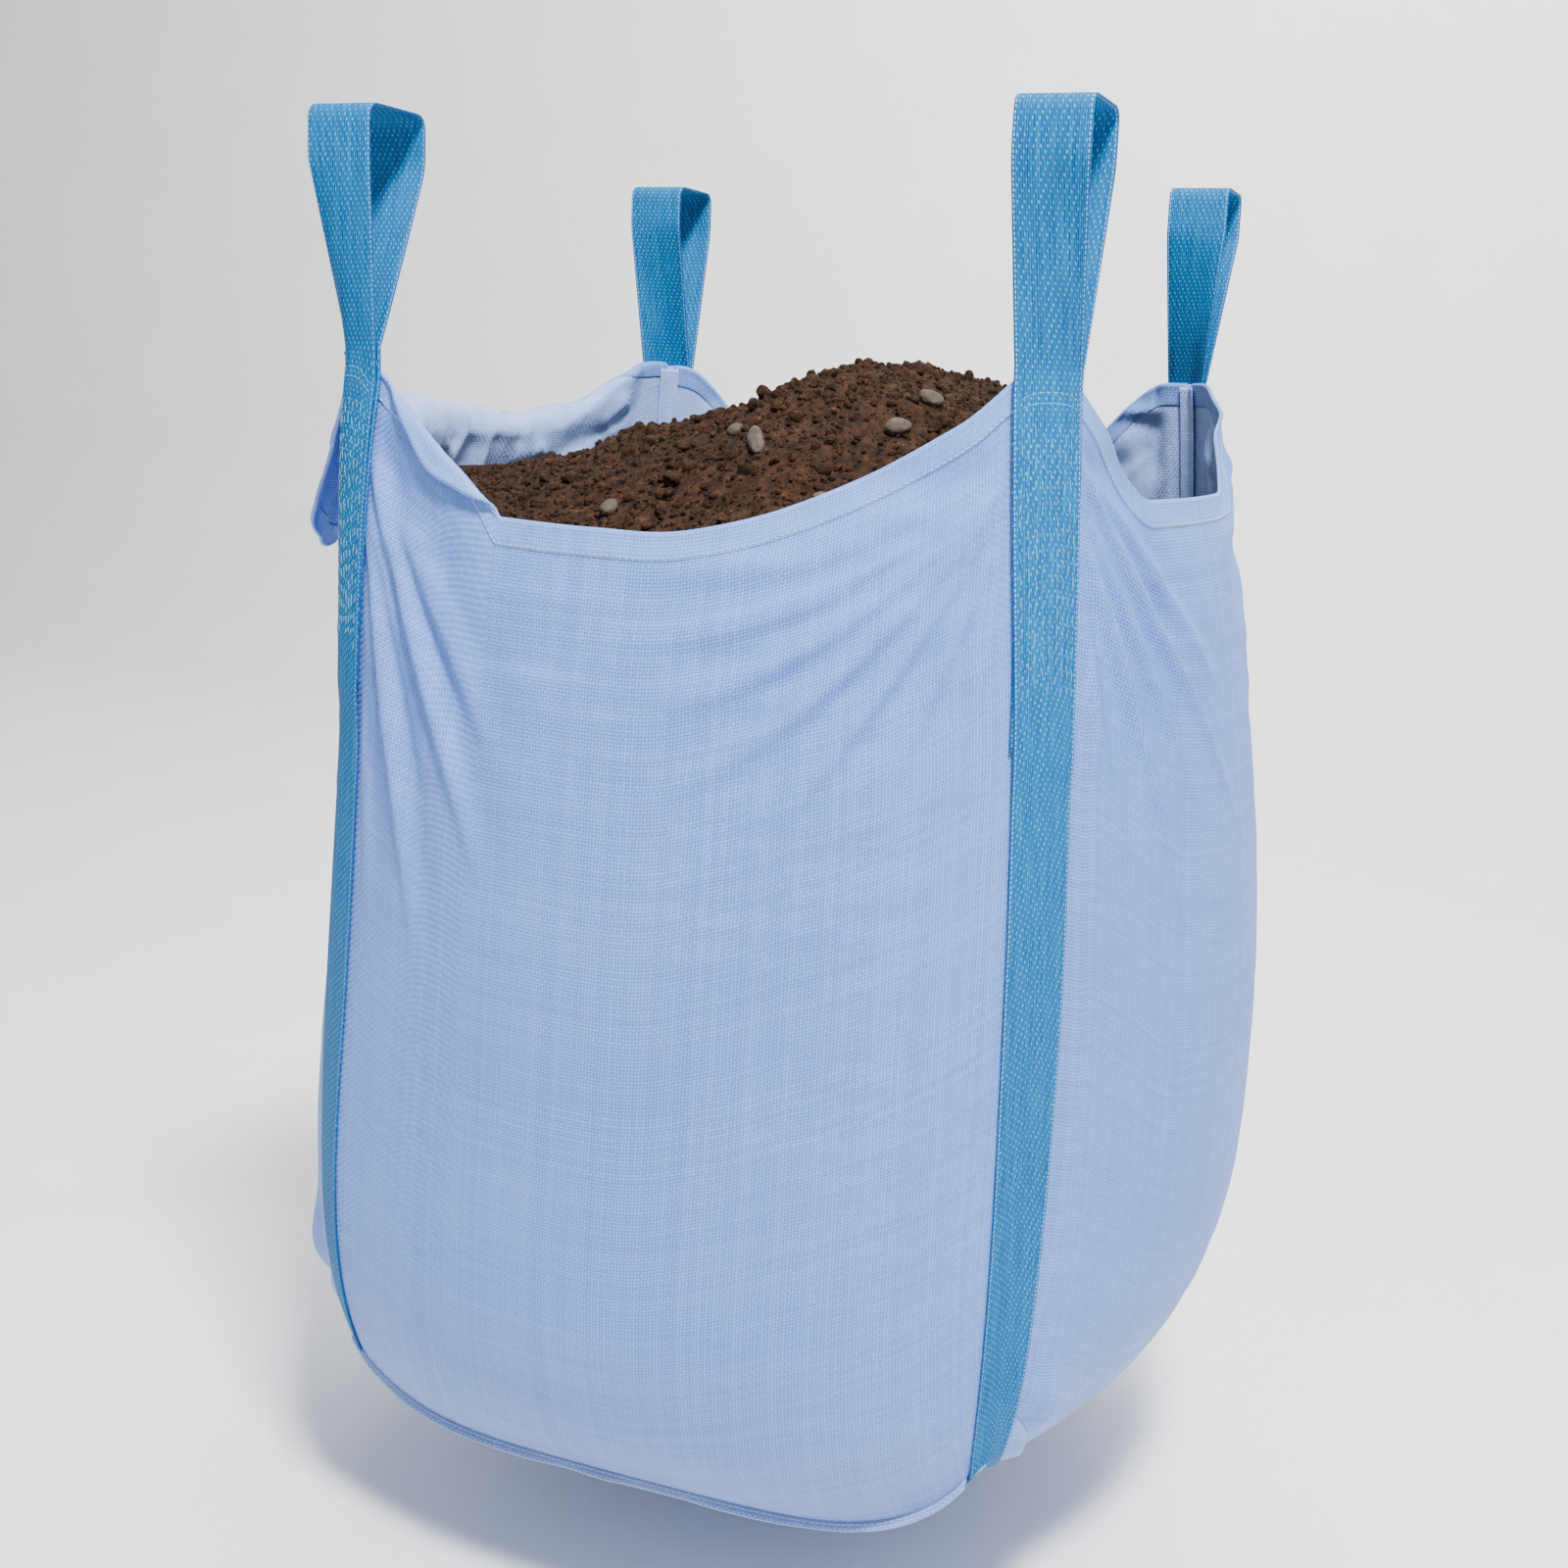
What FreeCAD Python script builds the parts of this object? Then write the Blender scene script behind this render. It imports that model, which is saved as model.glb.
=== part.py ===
import FreeCAD, Part
import Sketcher
import math
import os

# Bulk bag (flexible intermediate bulk container) filled with soil and hung by its four
# lifting loops. Millimetres. +X runs along the forks that carry it, +Z is up, and the
# origin is the centre of the four loop seats, at the height of the fork tops.

doc = FreeCAD.newDocument("bulk_bag")

# ---------------------------------------------------------------- driving dimensions
SIZES = [
    ("web_width", 70, "width of the lifting webbing"),
    ("web_thick", 2.5, "thickness of one layer of webbing"),
    ("loop_spacing_x", 704, "between loop centres along the forks"),
    ("loop_spacing_y", 740, "between loop centres across the forks"),
    ("fork_width", 100, "clear width of a loop over its fork"),
    ("fork_side", 50, "height over which the legs hang straight beside the fork"),
    ("rim_drop", 238, "loop seat down to the fold line at the mouth"),
    ("fold_gap", 10, "from the fold line to the webbing above and below it"),
    ("corner_height", 1014, "mouth corner down to the bottom seam corner"),
    ("corner_swell", 28, "how far the corner line bows out at mid height"),
    ("sag_front", 154, "how far the front and back rims dip below the corners"),
    ("sag_side", 102, "how far the left and right rims dip below the corners"),
    ("belly", 529, "largest distance from the axis to the middle of a panel"),
    ("belly_drop", 930, "loop seat down to the widest level"),
    ("mouth_bulge", 458, "distance from the axis to the middle of a rim"),
    ("mouth_drop", 400, "loop seat down to the front rim"),
    ("seam_drop", 1362, "loop seat down to the middle of a bottom seam"),
    ("base_drop", 1432, "loop seat down to the lowest point of the base"),
    ("cloth_thick", 1.5, "thickness of the panel cloth"),
    ("hem_width", 28, "width of the turned hem"),
    ("seam_width", 13, "width of the bottom seam allowance that stands out"),
    ("tail_length", 300, "length of the webbing end sewn under each strap"),
    ("thread", 1.2, "width of a thread line"),
    ("ear_length", 46, "length of the folded cloth ear at a bottom corner"),
    ("ear_height", 38, "height of the folded cloth ear"),
    ("heap_drop", 226, "loop seat down to the top of the soil heap"),
    ("soil_edge_drop", 414, "loop seat down to the soil at the middle of a rim"),
    ("soil_corner_drop", 372, "loop seat down to the soil in a mouth corner"),
]
sheet = doc.addObject("Spreadsheet::Sheet", "Sizes")
for line, (alias, value, meaning) in enumerate(SIZES, start=1):
    sheet.set(f"A{line}", meaning)
    sheet.set(f"B{line}", str(value))
    sheet.setAlias(f"B{line}", alias)
doc.recompute()
S = {alias: float(sheet.get(alias)) for alias, value, meaning in SIZES}

BASE_ROUNDING = 3.4      # exponent of the curve from the belly round under the base
CLEARANCE = 0.3          # left between layers that lie on each other
CORNERS = {"front_left": (-1, -1), "front_right": (1, -1),
           "back_left": (-1, 1), "back_right": (1, 1)}
SIDES = {"front": (0, -1), "back": (0, 1), "left": (-1, 0), "right": (1, 0)}
MOUTH_TOP = S["rim_drop"] + S["fold_gap"]
V = FreeCAD.Vector


# ---------------------------------------------------------------- shape of the filled bag
def corner_point(down, sign=(1, 1)):
    """The corner line: down is 0 at the mouth and 1 at the bottom seam."""
    swell = S["corner_swell"] * math.sin(math.pi * down)
    spread = 1 + 2 * swell / S["loop_spacing_x"]
    return V(sign[0] * S["loop_spacing_x"] / 2 * spread,
             sign[1] * S["loop_spacing_y"] / 2 * spread,
             -MOUTH_TOP - down * S["corner_height"])


def bulge(drop):
    """Distance from the axis to the middle of a panel at a depth below the loop seats."""
    above = S["belly_drop"] - drop
    if above > 0:
        part = above / (S["belly_drop"] - S["mouth_drop"])
        return S["belly"] - (S["belly"] - S["mouth_bulge"]) * part ** 2
    part = min(1.0, -above / (S["base_drop"] - S["belly_drop"]))
    return S["belly"] * (1 - part ** BASE_ROUNDING) ** (1 / BASE_ROUNDING)


def base_drop_at(distance):
    """Depth of the base on its centre line at a distance from the axis."""
    part = abs(distance) / S["belly"]
    depth = (1 - part ** BASE_ROUNDING) ** (1 / BASE_ROUNDING)
    return S["belly_drop"] + (S["base_drop"] - S["belly_drop"]) * depth


def rim_drop_mid(side):
    sag = S["sag_front"] if side in ("front", "back") else S["sag_side"]
    return MOUTH_TOP + sag


def panel_point(side, down, across):
    """Outer cloth of one side: across runs from -1 to 1 between its two corner lines."""
    sx, sy = SIDES[side]
    corner = corner_point(down)
    drop = rim_drop_mid(side) + down * (S["seam_drop"] - rim_drop_mid(side))
    hold = across ** 2
    z = corner.z * hold - drop * (1 - hold)
    if sx == 0:
        return V(corner.x * across, sy * (corner.y * hold + bulge(drop) * (1 - hold)), z)
    return V(sx * (corner.x * hold + bulge(drop) * (1 - hold)), corner.y * across, z)


def base_point(along, across):
    """Outer cloth of the base: along runs from right (1) to left (-1), across in Y."""
    edge = panel_point("front", 1, along)
    middle_x = bulge(S["seam_drop"]) * along
    hold = across ** 2
    return V(edge.x * hold + middle_x * (1 - hold), -edge.y * across,
             edge.z * hold - base_drop_at(middle_x) * (1 - hold))


def steps(first, last, count):
    return [first + (last - first) * i / (count - 1) for i in range(count)]


# ---------------------------------------------------------------- solids from point nets
def spline_face(net, degree_u=3, degree_v=3):
    """A smooth face whose control points are the rows of the net."""
    def knots(count, degree):
        inner = count - degree - 1
        return ([degree + 1] + [1] * inner + [degree + 1],
                [i / (inner + 1) for i in range(inner + 2)])
    mults_u, knots_u = knots(len(net), degree_u)
    mults_v, knots_v = knots(len(net[0]), degree_v)
    surface = Part.BSplineSurface()
    surface.buildFromPolesMultsKnots(net, mults_u, mults_v, knots_u, knots_v,
                                     False, False, degree_u, degree_v)
    return surface.toShape()


def closed_solid(faces):
    shell = Part.Shell(faces)
    shell.sewShape()
    solid = Part.Solid(shell)
    if solid.Volume < 0:
        solid.reverse()
    return solid


def edges_of(net):
    return [net[0], net[-1], [row[0] for row in net], [row[-1] for row in net]]


def slab(near, far):
    """The solid between two nets of the same size."""
    rims = [spline_face([a, b], 1, 3) for a, b in zip(edges_of(near), edges_of(far))]
    return closed_solid([spline_face(near), spline_face(far)] + rims)


def outward_normals(net):
    rows, columns = len(net), len(net[0])
    normals = []
    for i in range(rows):
        line = []
        for j in range(columns):
            du = net[min(i + 1, rows - 1)][j] - net[max(i - 1, 0)][j]
            dv = net[i][min(j + 1, columns - 1)] - net[i][max(j - 1, 0)]
            normal = du.cross(dv).normalize()
            heart = V(0, 0, -S["belly_drop"])
            line.append(normal if normal.dot(net[i][j] - heart) > 0 else -normal)
        normals.append(line)
    return normals


def lifted(net, distance):
    """The net moved outward from the bag by a distance."""
    return [[p + n * distance for p, n in zip(*pair)]
            for pair in zip(net, outward_normals(net))]


def layer(net, inside, thickness):
    """Cloth or webbing whose inner face lies a distance outside the net."""
    return slab(lifted(net, inside), lifted(net, inside + thickness))


def add_feature(label, shape):
    feature = doc.addObject("Part::Feature", label)
    feature.Shape = shape
    feature.Placement = FreeCAD.Placement()
    feature.Label = label
    return feature


kept = []

# ---------------------------------------------------------------- panels
DOWN, ACROSS, ALONG = 13, 13, 9


def panel_net(side):
    return [[panel_point(side, d, a) for a in steps(-1, 1, ACROSS)]
            for d in steps(0, 1, DOWN)]


def u_panel_net():
    """Right side, base and left side in one length of cloth."""
    right = panel_net("right")
    left = panel_net("left")[::-1]
    base = [[base_point(p, a) for a in steps(-1, 1, ACROSS)]
            for p in steps(1, -1, ALONG)[1:-1]]
    return right + base + left


PANELS = {"front_panel": panel_net("front"), "back_panel": panel_net("back"),
          "u_panel": u_panel_net()}
for name, net in PANELS.items():
    kept.append(add_feature(name, layer(net, -S["cloth_thick"], S["cloth_thick"])))

# ---------------------------------------------------------------- hems and bottom seams
HEM_INSET = 0.87         # the hems stop short of the corners, where the straps are sewn
BELOW_RIM = 0.1          # a level just below the rim, which gives the cloth's fall there


def hem_net(side, top, width):
    """A band along a rim, starting a distance below it."""
    net = []
    for step in steps(0, 1, 4):
        row = []
        for a in steps(-HEM_INSET, HEM_INSET, ACROSS):
            rim = panel_point(side, 0, a)
            fall = (panel_point(side, BELOW_RIM, a) - rim).normalize()
            row.append(rim + fall * (top + width * step))
        net.append(row)
    return net


for side in SIDES:
    band = hem_net(side, 0, S["hem_width"])
    kept.append(add_feature(f"hem_{side}", layer(band, CLEARANCE, S["cloth_thick"])))

SEAM_TILT = 0.45         # the allowance points down and this much outward
SEAM_INSET = 0.78        # the allowance ends beside the straps

for side in ("front", "back"):
    lean = V(0, SIDES[side][1] * SEAM_TILT, -1).normalize()
    seam = [[panel_point(side, 1, a) + lean * (CLEARANCE + S["seam_width"] * step)
             for a in steps(-SEAM_INSET, SEAM_INSET, ACROSS)] for step in steps(0, 1, 4)]
    kept.append(add_feature(f"bottom_seam_{side}", layer(seam, 0, 2 * S["cloth_thick"])))

# ---------------------------------------------------------------- straps on the corners
TUCK = [(0.955, 24), (0.88, 52)]   # the strap's end under the base: spread and extra drop
FOOT_LIFTS = [2, 9, 7, 3]   # more lift there, as a curve runs inside its control points
TAIL_PART = S["tail_length"] / S["corner_height"]
STRAP_ROWS, TAIL_ROWS, THREAD_LINES = 15, 7, 5
SETTLE_START, SETTLE = 0.075, 0.06   # of the corner line: the strap comes down past its tail


def strap_centres(sign, last, count):
    centres = [corner_point(d, sign) for d in steps(0, last, count)]
    if last == 1:
        foot = centres[-1]
        centres += [V(foot.x * spread, foot.y * spread, foot.z - drop)
                    for spread, drop in TUCK]
    return centres


def strap_net(sign, centres, width, shift=0.0):
    """A flat strip along the corner line, facing out along the diagonal."""
    across = V(-sign[1], sign[0], 0).normalize()
    return [[c + across * (shift + width * a) for a in steps(-0.5, 0.5, 4)] for c in centres]


def strap_lift(row_down):
    """The strap runs over its tail and then settles on the cloth."""
    under = S["web_thick"] + 2 * CLEARANCE
    fade = (row_down - TAIL_PART - SETTLE_START) / SETTLE
    return CLEARANCE + under * (1 - min(1.0, max(0.0, fade)))


def lifted_rows(net, lifts):
    return [[p + n * lift for p, n in zip(row, normals)]
            for row, normals, lift in zip(net, outward_normals(net), lifts)]


THREAD_ROWS = (-26, -9, 9, 26)     # across the strap, from its centre
THREAD_LENGTH = 0.16               # of the corner line, from the mouth down

for corner, sign in CORNERS.items():
    strap = strap_net(sign, strap_centres(sign, 1, STRAP_ROWS), S["web_width"])
    lifts = [strap_lift(d) for d in steps(0, 1, STRAP_ROWS)][:-2] + FOOT_LIFTS
    inner = lifted_rows(strap, lifts)
    outer = lifted_rows(strap, [lift + S["web_thick"] for lift in lifts])
    kept.append(add_feature(f"strap_{corner}", slab(inner, outer)))

    tail = strap_net(sign, strap_centres(sign, TAIL_PART, TAIL_ROWS), S["web_width"])
    kept.append(add_feature(f"strap_tail_{corner}", layer(tail, CLEARANCE, S["web_thick"])))

    above = 2 * S["web_thick"] + 4 * CLEARANCE
    rows = strap_centres(sign, THREAD_LENGTH, THREAD_LINES)
    threads = [layer(strap_net(sign, rows, S["thread"], shift), above, S["thread"] / 2)
               for shift in THREAD_ROWS]
    kept.append(add_feature(f"strap_stitching_{corner}", Part.makeCompound(threads)))

HEM_THREAD = 0.8         # of the hem's width, from the rim down to its thread line
hem_threads = [layer(hem_net(side, S["hem_width"] * HEM_THREAD, S["thread"]),
                     2 * CLEARANCE + S["cloth_thick"], S["thread"] / 2) for side in SIDES]
kept.append(add_feature("hem_stitching", Part.makeCompound(hem_threads)))

# ---------------------------------------------------------------- sketched webbing and ears
def origin_plane(body, role):
    return [f for f in body.Origin.OriginFeatures if f.Role == role][0]


def closed_sketch(body, name, role, corners):
    """A closed outline of straight runs on one of the body's origin planes.

    corners holds an expression for each coordinate, so the outline follows the sheet."""
    outline = body.newObject("Sketcher::SketchObject", name)
    outline.AttachmentSupport = [(origin_plane(body, role), "")]
    outline.MapMode = "FlatFace"
    count = len(corners)
    guess = [V(*[float(sheet.evalExpression(text)) for text in pair], 0) for pair in corners]
    for i in range(count):
        outline.addGeometry(Part.LineSegment(guess[i], guess[(i + 1) % count]))
    for i in range(count):
        outline.addConstraint(Sketcher.Constraint("Coincident", i, 2, (i + 1) % count, 1))
    for i, pair in enumerate(corners):
        for way, text, value in zip("XY", pair, guess[i]):
            index = outline.addConstraint(
                Sketcher.Constraint(f"Distance{way}", -1, 1, i, 1, value))
            outline.setExpression(f"Constraints[{index}]", text)
    return outline


def padded_body(label, role, corners, thickness):
    """A body padded both ways from a closed outline."""
    body = doc.addObject("PartDesign::Body", label)
    body.Label = label
    pad = body.newObject("PartDesign::Pad", f"{label}_pad")
    pad.Profile = closed_sketch(body, f"{label}_outline", role, corners)
    pad.Midplane = True
    pad.setExpression("Length", thickness)
    doc.recompute()
    return body


HALF_FORK = "Sizes.fork_width / 2"
WEB = "Sizes.web_thick"
FOOT = "-Sizes.rim_drop + Sizes.fold_gap"
HALF_WIDTH = "Sizes.web_width / 2"
OUTER_LEG = 1.5 * S["web_thick"] + 3 * CLEARANCE   # leg centres outside the corner line,
INNER_LEG = 0.5 * S["web_thick"] + CLEARANCE       # in line with the strap and its tail


def mirrored(outline):
    """The outline followed by its own mirror image, so that it closes on itself."""
    return outline + [(f"-({y})", z) for y, z in outline[::-1]]


CROWN = (mirrored([(f"-({HALF_FORK} + {WEB})", "-Sizes.fork_side"),
                   (f"-({HALF_FORK} + {WEB})", WEB)])
         + mirrored([(HALF_FORK, "-Sizes.fork_side"), (HALF_FORK, "0")]))
WEB_SECTION = mirrored([(f"-{HALF_WIDTH}", f"-{WEB} / 2"), (f"-{HALF_WIDTH}", f"{WEB} / 2")])


def web_section(body, name, height, turn, place):
    """The webbing's section at a height, turned about +Z and moved aside."""
    section = closed_sketch(body, name, "XY_Plane", WEB_SECTION)
    section.AttachmentOffset = FreeCAD.Placement(V(0, 0, 0), FreeCAD.Rotation(V(0, 0, 1), turn))
    for way, text in zip("xyz", (*place, height)):
        section.setExpression(f"AttachmentOffset.Base.{way}", str(text))
    return section


# each loop is a stirrup that lies flat on its fork, and its legs turn to face the diagonal
for corner, (sx, sy) in CORNERS.items():
    name = f"lift_loop_{corner}"
    loop = padded_body(name, "YZ_Plane", CROWN, "Sizes.web_width")
    for leg, side, offset in (("outer", sy, OUTER_LEG), ("inner", -sy, INNER_LEG)):
        aside = (0, f"{side} * (Sizes.fork_width + {WEB}) / 2")
        knee = web_section(loop, f"{name}_{leg}_knee", "-Sizes.fork_side", 0, aside)
        along = offset / math.sqrt(2)
        foot = web_section(loop, f"{name}_{leg}_foot", FOOT, -45 * sx * sy,
                           (sx * along, sy * along))
        leg_loft = loop.newObject("PartDesign::AdditiveLoft", f"{name}_{leg}_leg")
        leg_loft.Profile = knee
        leg_loft.Sections = [foot]
        leg_loft.Ruled = True
        doc.recompute()
    loop.setExpression("Placement.Base.x", f"{sx} * Sizes.loop_spacing_x / 2")
    loop.setExpression("Placement.Base.y", f"{sy} * Sizes.loop_spacing_y / 2")
    kept.append(loop)

# the seam allowances of the front and back end in a folded ear beside each strap
EAR_OUT = 17             # from the corner line, clear of the side panel
EAR_IN = 41              # from the corner line, clear of the strap's edge
EAR_RISE = 8             # above the seam corner

for corner, (sx, sy) in CORNERS.items():
    outline = [("0", "0"), (f"{sx} * Sizes.ear_length", "-Sizes.ear_height / 3"),
               ("0", "-Sizes.ear_height")]
    ear = padded_body(f"corner_ear_{corner}", "XZ_Plane", outline, "2 * Sizes.cloth_thick")
    ear.setExpression("Placement.Base.x", f"{sx} * (Sizes.loop_spacing_x / 2 + {EAR_OUT})")
    ear.setExpression("Placement.Base.y", f"{sy} * (Sizes.loop_spacing_y / 2 - {EAR_IN})")
    ear.setExpression("Placement.Base.z", "-Sizes.rim_drop - Sizes.fold_gap"
                      f" - Sizes.corner_height + {EAR_RISE}")
    kept.append(ear)

# ---------------------------------------------------------------- soil
SOIL_INSET = 8           # from the outer cloth to the soil, towards the heart of the bag
BASE_INSET = 18          # more than that at the base, where the cloth bends sharply
HEART = V(0, 0, -S["belly_drop"])
HEAP_LEAN = (0.22, 0.10)   # the heap is higher towards the right and the back


def inset(point):
    low = max(0.0, HEART.z - point.z) / (S["base_drop"] - S["belly_drop"])
    return point + (HEART - point).normalize() * (SOIL_INSET + BASE_INSET * low ** 2)


def soil_start(side, across):
    """Where the soil meets a side, as a part of the way from the mouth to the seam."""
    hold = across ** 2
    soil = S["soil_corner_drop"] * hold + S["soil_edge_drop"] * (1 - hold)
    top = MOUTH_TOP * hold + rim_drop_mid(side) * (1 - hold)
    end = (MOUTH_TOP + S["corner_height"]) * hold + S["seam_drop"] * (1 - hold)
    return (soil - top) / (end - top)


def soil_side_net(side):
    columns = []
    for a in steps(-1, 1, ACROSS):
        start = soil_start(side, a)
        columns.append([inset(panel_point(side, start + (1 - start) * d, a))
                        for d in steps(0, 1, DOWN)])
    return [list(row) for row in zip(*columns)]


def heap_net(front, back, left, right):
    """The soil surface: its edges are the top rows of the sides, and its middle a heap."""
    count = len(front)

    def between(i, j, lift):
        p, q = i / (count - 1), j / (count - 1)
        flat = (front[i] * (1 - q) + back[i] * q + left[j] * (1 - p) + right[j] * p
                - (front[0] * (1 - p) + front[-1] * p) * (1 - q)
                - (back[0] * (1 - p) + back[-1] * p) * q)
        x, y = 2 * p - 1, 2 * q - 1
        mound = (1 - x ** 2) * (1 - y ** 2) * (1 + HEAP_LEAN[0] * x + HEAP_LEAN[1] * y)
        return flat + V(0, 0, lift * mound)

    middle = (count - 1) // 2
    lift = -S["heap_drop"] - between(middle, middle, 0).z
    return [[between(i, j, lift) for j in range(count)] for i in range(count)]


soil_sides = {side: soil_side_net(side) for side in SIDES}
heap = heap_net(*[soil_sides[side][0] for side in ("front", "back", "left", "right")])
soil_base = [[inset(base_point(p, a)) for a in steps(-1, 1, ACROSS)]
             for p in steps(-1, 1, ACROSS)]
soil_nets = list(soil_sides.values()) + [heap, soil_base]
soil = add_feature("soil_fill", closed_solid([spline_face(net) for net in soil_nets]))
kept.append(soil)

# stones that lie half sunk in the heap: place, half axes and turn about +Z
STONES = [(-20, -150, 28, 12, 10, 62), (150, -60, 19, 16, 12, 20), (-40, -60, 13, 11, 9, 0),
          (-185, -250, 17, 14, 10, 40), (60, 120, 15, 12, 9, 75), (-120, 60, 12, 10, 8, 15)]


def soil_level(x, y):
    plumb = Part.makeLine(V(x, y, 0), V(x, y, -S["base_drop"]))
    return plumb.common(soil.Shape).BoundBox.ZMax


stones = []
for number, (x, y, half_x, half_y, half_z, turn) in enumerate(STONES, start=1):
    stone = doc.addObject("Part::Ellipsoid", f"stone_{number}")
    stone.Radius1, stone.Radius2, stone.Radius3 = half_z, half_x, half_y
    stone.Placement = FreeCAD.Placement(V(x, y, soil_level(x, y)),
                                        FreeCAD.Rotation(V(0, 0, 1), turn))
    stones.append(stone)
surface_stones = doc.addObject("Part::Compound", "surface_stones")
surface_stones.Label = "surface_stones"
surface_stones.Links = stones
kept.append(surface_stones)

# ---------------------------------------------------------------- check and write
doc.recompute()
for item in doc.Objects:
    if "Invalid" in item.State or "Error" in item.State:
        raise RuntimeError(f"{item.Name} did not recompute: {item.State}")
os.makedirs("parts", exist_ok=True)
for item in kept:
    shape = item.Shape
    if shape.isNull() or not shape.isValid() or not shape.Solids:
        raise RuntimeError(f"{item.Label} has no valid solid")
    shape.exportStep(f"parts/{item.Label}.step")
    box = shape.BoundBox
    print(f"{item.Label:32s} {len(shape.Solids):2d} solids {shape.Volume / 1e6:10.4f} L"
          f"  z {box.ZMin:8.1f} {box.ZMax:8.1f}")
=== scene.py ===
import math

import bmesh
import bpy
import numpy as np
from mathutils import Matrix, Vector


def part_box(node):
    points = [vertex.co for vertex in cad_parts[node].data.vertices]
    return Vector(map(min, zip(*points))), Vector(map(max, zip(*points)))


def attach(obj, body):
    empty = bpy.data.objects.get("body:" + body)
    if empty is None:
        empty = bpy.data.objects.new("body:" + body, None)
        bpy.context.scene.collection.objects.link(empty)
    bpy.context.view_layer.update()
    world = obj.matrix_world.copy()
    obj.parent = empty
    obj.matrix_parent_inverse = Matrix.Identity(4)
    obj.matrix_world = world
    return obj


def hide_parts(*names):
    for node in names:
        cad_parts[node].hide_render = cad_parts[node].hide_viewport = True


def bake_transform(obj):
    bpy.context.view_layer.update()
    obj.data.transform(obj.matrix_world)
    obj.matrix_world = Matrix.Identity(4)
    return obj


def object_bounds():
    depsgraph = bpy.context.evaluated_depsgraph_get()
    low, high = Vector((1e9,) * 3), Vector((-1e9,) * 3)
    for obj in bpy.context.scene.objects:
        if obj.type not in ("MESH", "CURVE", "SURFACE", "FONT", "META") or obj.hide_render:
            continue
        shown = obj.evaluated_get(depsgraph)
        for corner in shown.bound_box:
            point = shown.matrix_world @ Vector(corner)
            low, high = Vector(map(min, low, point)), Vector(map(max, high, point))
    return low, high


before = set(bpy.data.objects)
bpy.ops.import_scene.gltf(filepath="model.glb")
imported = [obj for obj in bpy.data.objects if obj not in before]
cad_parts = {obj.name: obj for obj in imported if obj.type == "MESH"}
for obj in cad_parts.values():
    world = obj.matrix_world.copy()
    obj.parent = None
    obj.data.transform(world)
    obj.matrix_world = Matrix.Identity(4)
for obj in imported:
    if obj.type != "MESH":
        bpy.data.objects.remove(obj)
cad_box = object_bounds()

# Metres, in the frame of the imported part: +X along the forks, +Y away from the camera,
# +Z up, the origin between the four loop seats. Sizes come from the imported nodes; the
# formulas for the filled bag are the design's own.

CORNERS = {"front_left": (-1, -1), "front_right": (1, -1),
           "back_left": (-1, 1), "back_right": (1, 1)}
SIDES = {"front": (0, -1), "back": (0, 1), "left": (-1, 0), "right": (1, 0)}


# ------------------------------------------------------------------ sizes from the frame
def node_box(name):
    low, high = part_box(name)
    return np.array(low), np.array(high)


loop_low, loop_high = node_box("lift_loop_front_right")
panel_low, panel_high = node_box("front_panel")
u_low, u_high = node_box("u_panel")

WEB_WIDTH = loop_high[0] - loop_low[0]
WEB_THICK = loop_high[2]                     # one layer lies on the fork above the seat
HALF_X = (loop_low[0] + loop_high[0]) / 2    # the loops' places, and the mouth's corners
HALF_Y = -(loop_low[1] + loop_high[1]) / 2
FORK_HALF = (loop_high[1] - loop_low[1]) / 2 - WEB_THICK
LEG_FOOT = loop_low[2]
MOUTH_TOP = -panel_high[2]                   # how far the mouth's corners lie below the seats
SEAM_DROP = -panel_low[2]                    # and the bottom seams, and the base
BASE_DROP = -u_low[2]
BELLY = u_high[0] + 0.0015                   # how far the fullest part stands out

BELLY_DROP = 0.930        # how far the fullest part lies below the seats
MOUTH_DROP = 0.400        # a level just under the rims, and how far the cloth is out there
MOUTH_BULGE = 0.458
CORNER_HEIGHT = 1.014     # of a corner line, from the mouth to the base
CORNER_SWELL = 0.028      # how far a corner line bows out along X and along Y
BASE_ROUNDING = 3.4       # power of the curve from the sides into the base
CLOTH = 0.0012            # thickness
PANEL_WIDTH = 0.87        # a panel's cut width between its corner seams


# ------------------------------------------------------------------ small mathematics
def smooth(value, low, high):
    part = np.clip((value - low) / (high - low), 0, 1)
    return part * part * (3 - 2 * part)


def mix(first, second, share):
    return first * (1 - share) + second * share


def unit(vectors):
    return vectors / np.maximum(np.linalg.norm(vectors, axis=-1, keepdims=True), 1e-12)


def value_noise(points, cell, seed):
    """Smooth noise from -1 to 1 at points, with cells of the given size."""
    scaled = np.asarray(points) / cell
    base = np.floor(scaled).astype(np.int64)
    part = scaled - base
    part = part * part * (3 - 2 * part)
    total = np.zeros(scaled.shape[:-1])
    for number in range(8):
        step = np.array([number & 1, number >> 1 & 1, number >> 2])
        key = base + step
        mixed = (key[..., 0] * 73856093) ^ (key[..., 1] * 19349663) ^ (key[..., 2] * 83492791)
        mixed = (mixed ^ (seed * 7919)) & 0x7FFFFFFF
        mixed = ((mixed ^ (mixed >> 13)) * 1274126177) & 0x7FFFFFFF
        mixed = (mixed ^ (mixed >> 16)) & 0xFFFF
        weight = np.prod(np.where(step, part, 1 - part), axis=-1)
        total += weight * (mixed / 32767.5 - 1)
    return total


def ridged(points, cell, seed):
    """Crumples with sharp crests, from 0 to 1."""
    rough = sum(0.5 ** octave * value_noise(points, cell / 2 ** octave, seed + octave)
                for octave in range(3))
    return (1 - np.abs(rough)) ** 2


def run_along(line):
    """Distance along a line of points from its first one."""
    steps = np.linalg.norm(np.diff(line, axis=0), axis=1)
    return np.concatenate([[0], np.cumsum(steps)])


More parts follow.
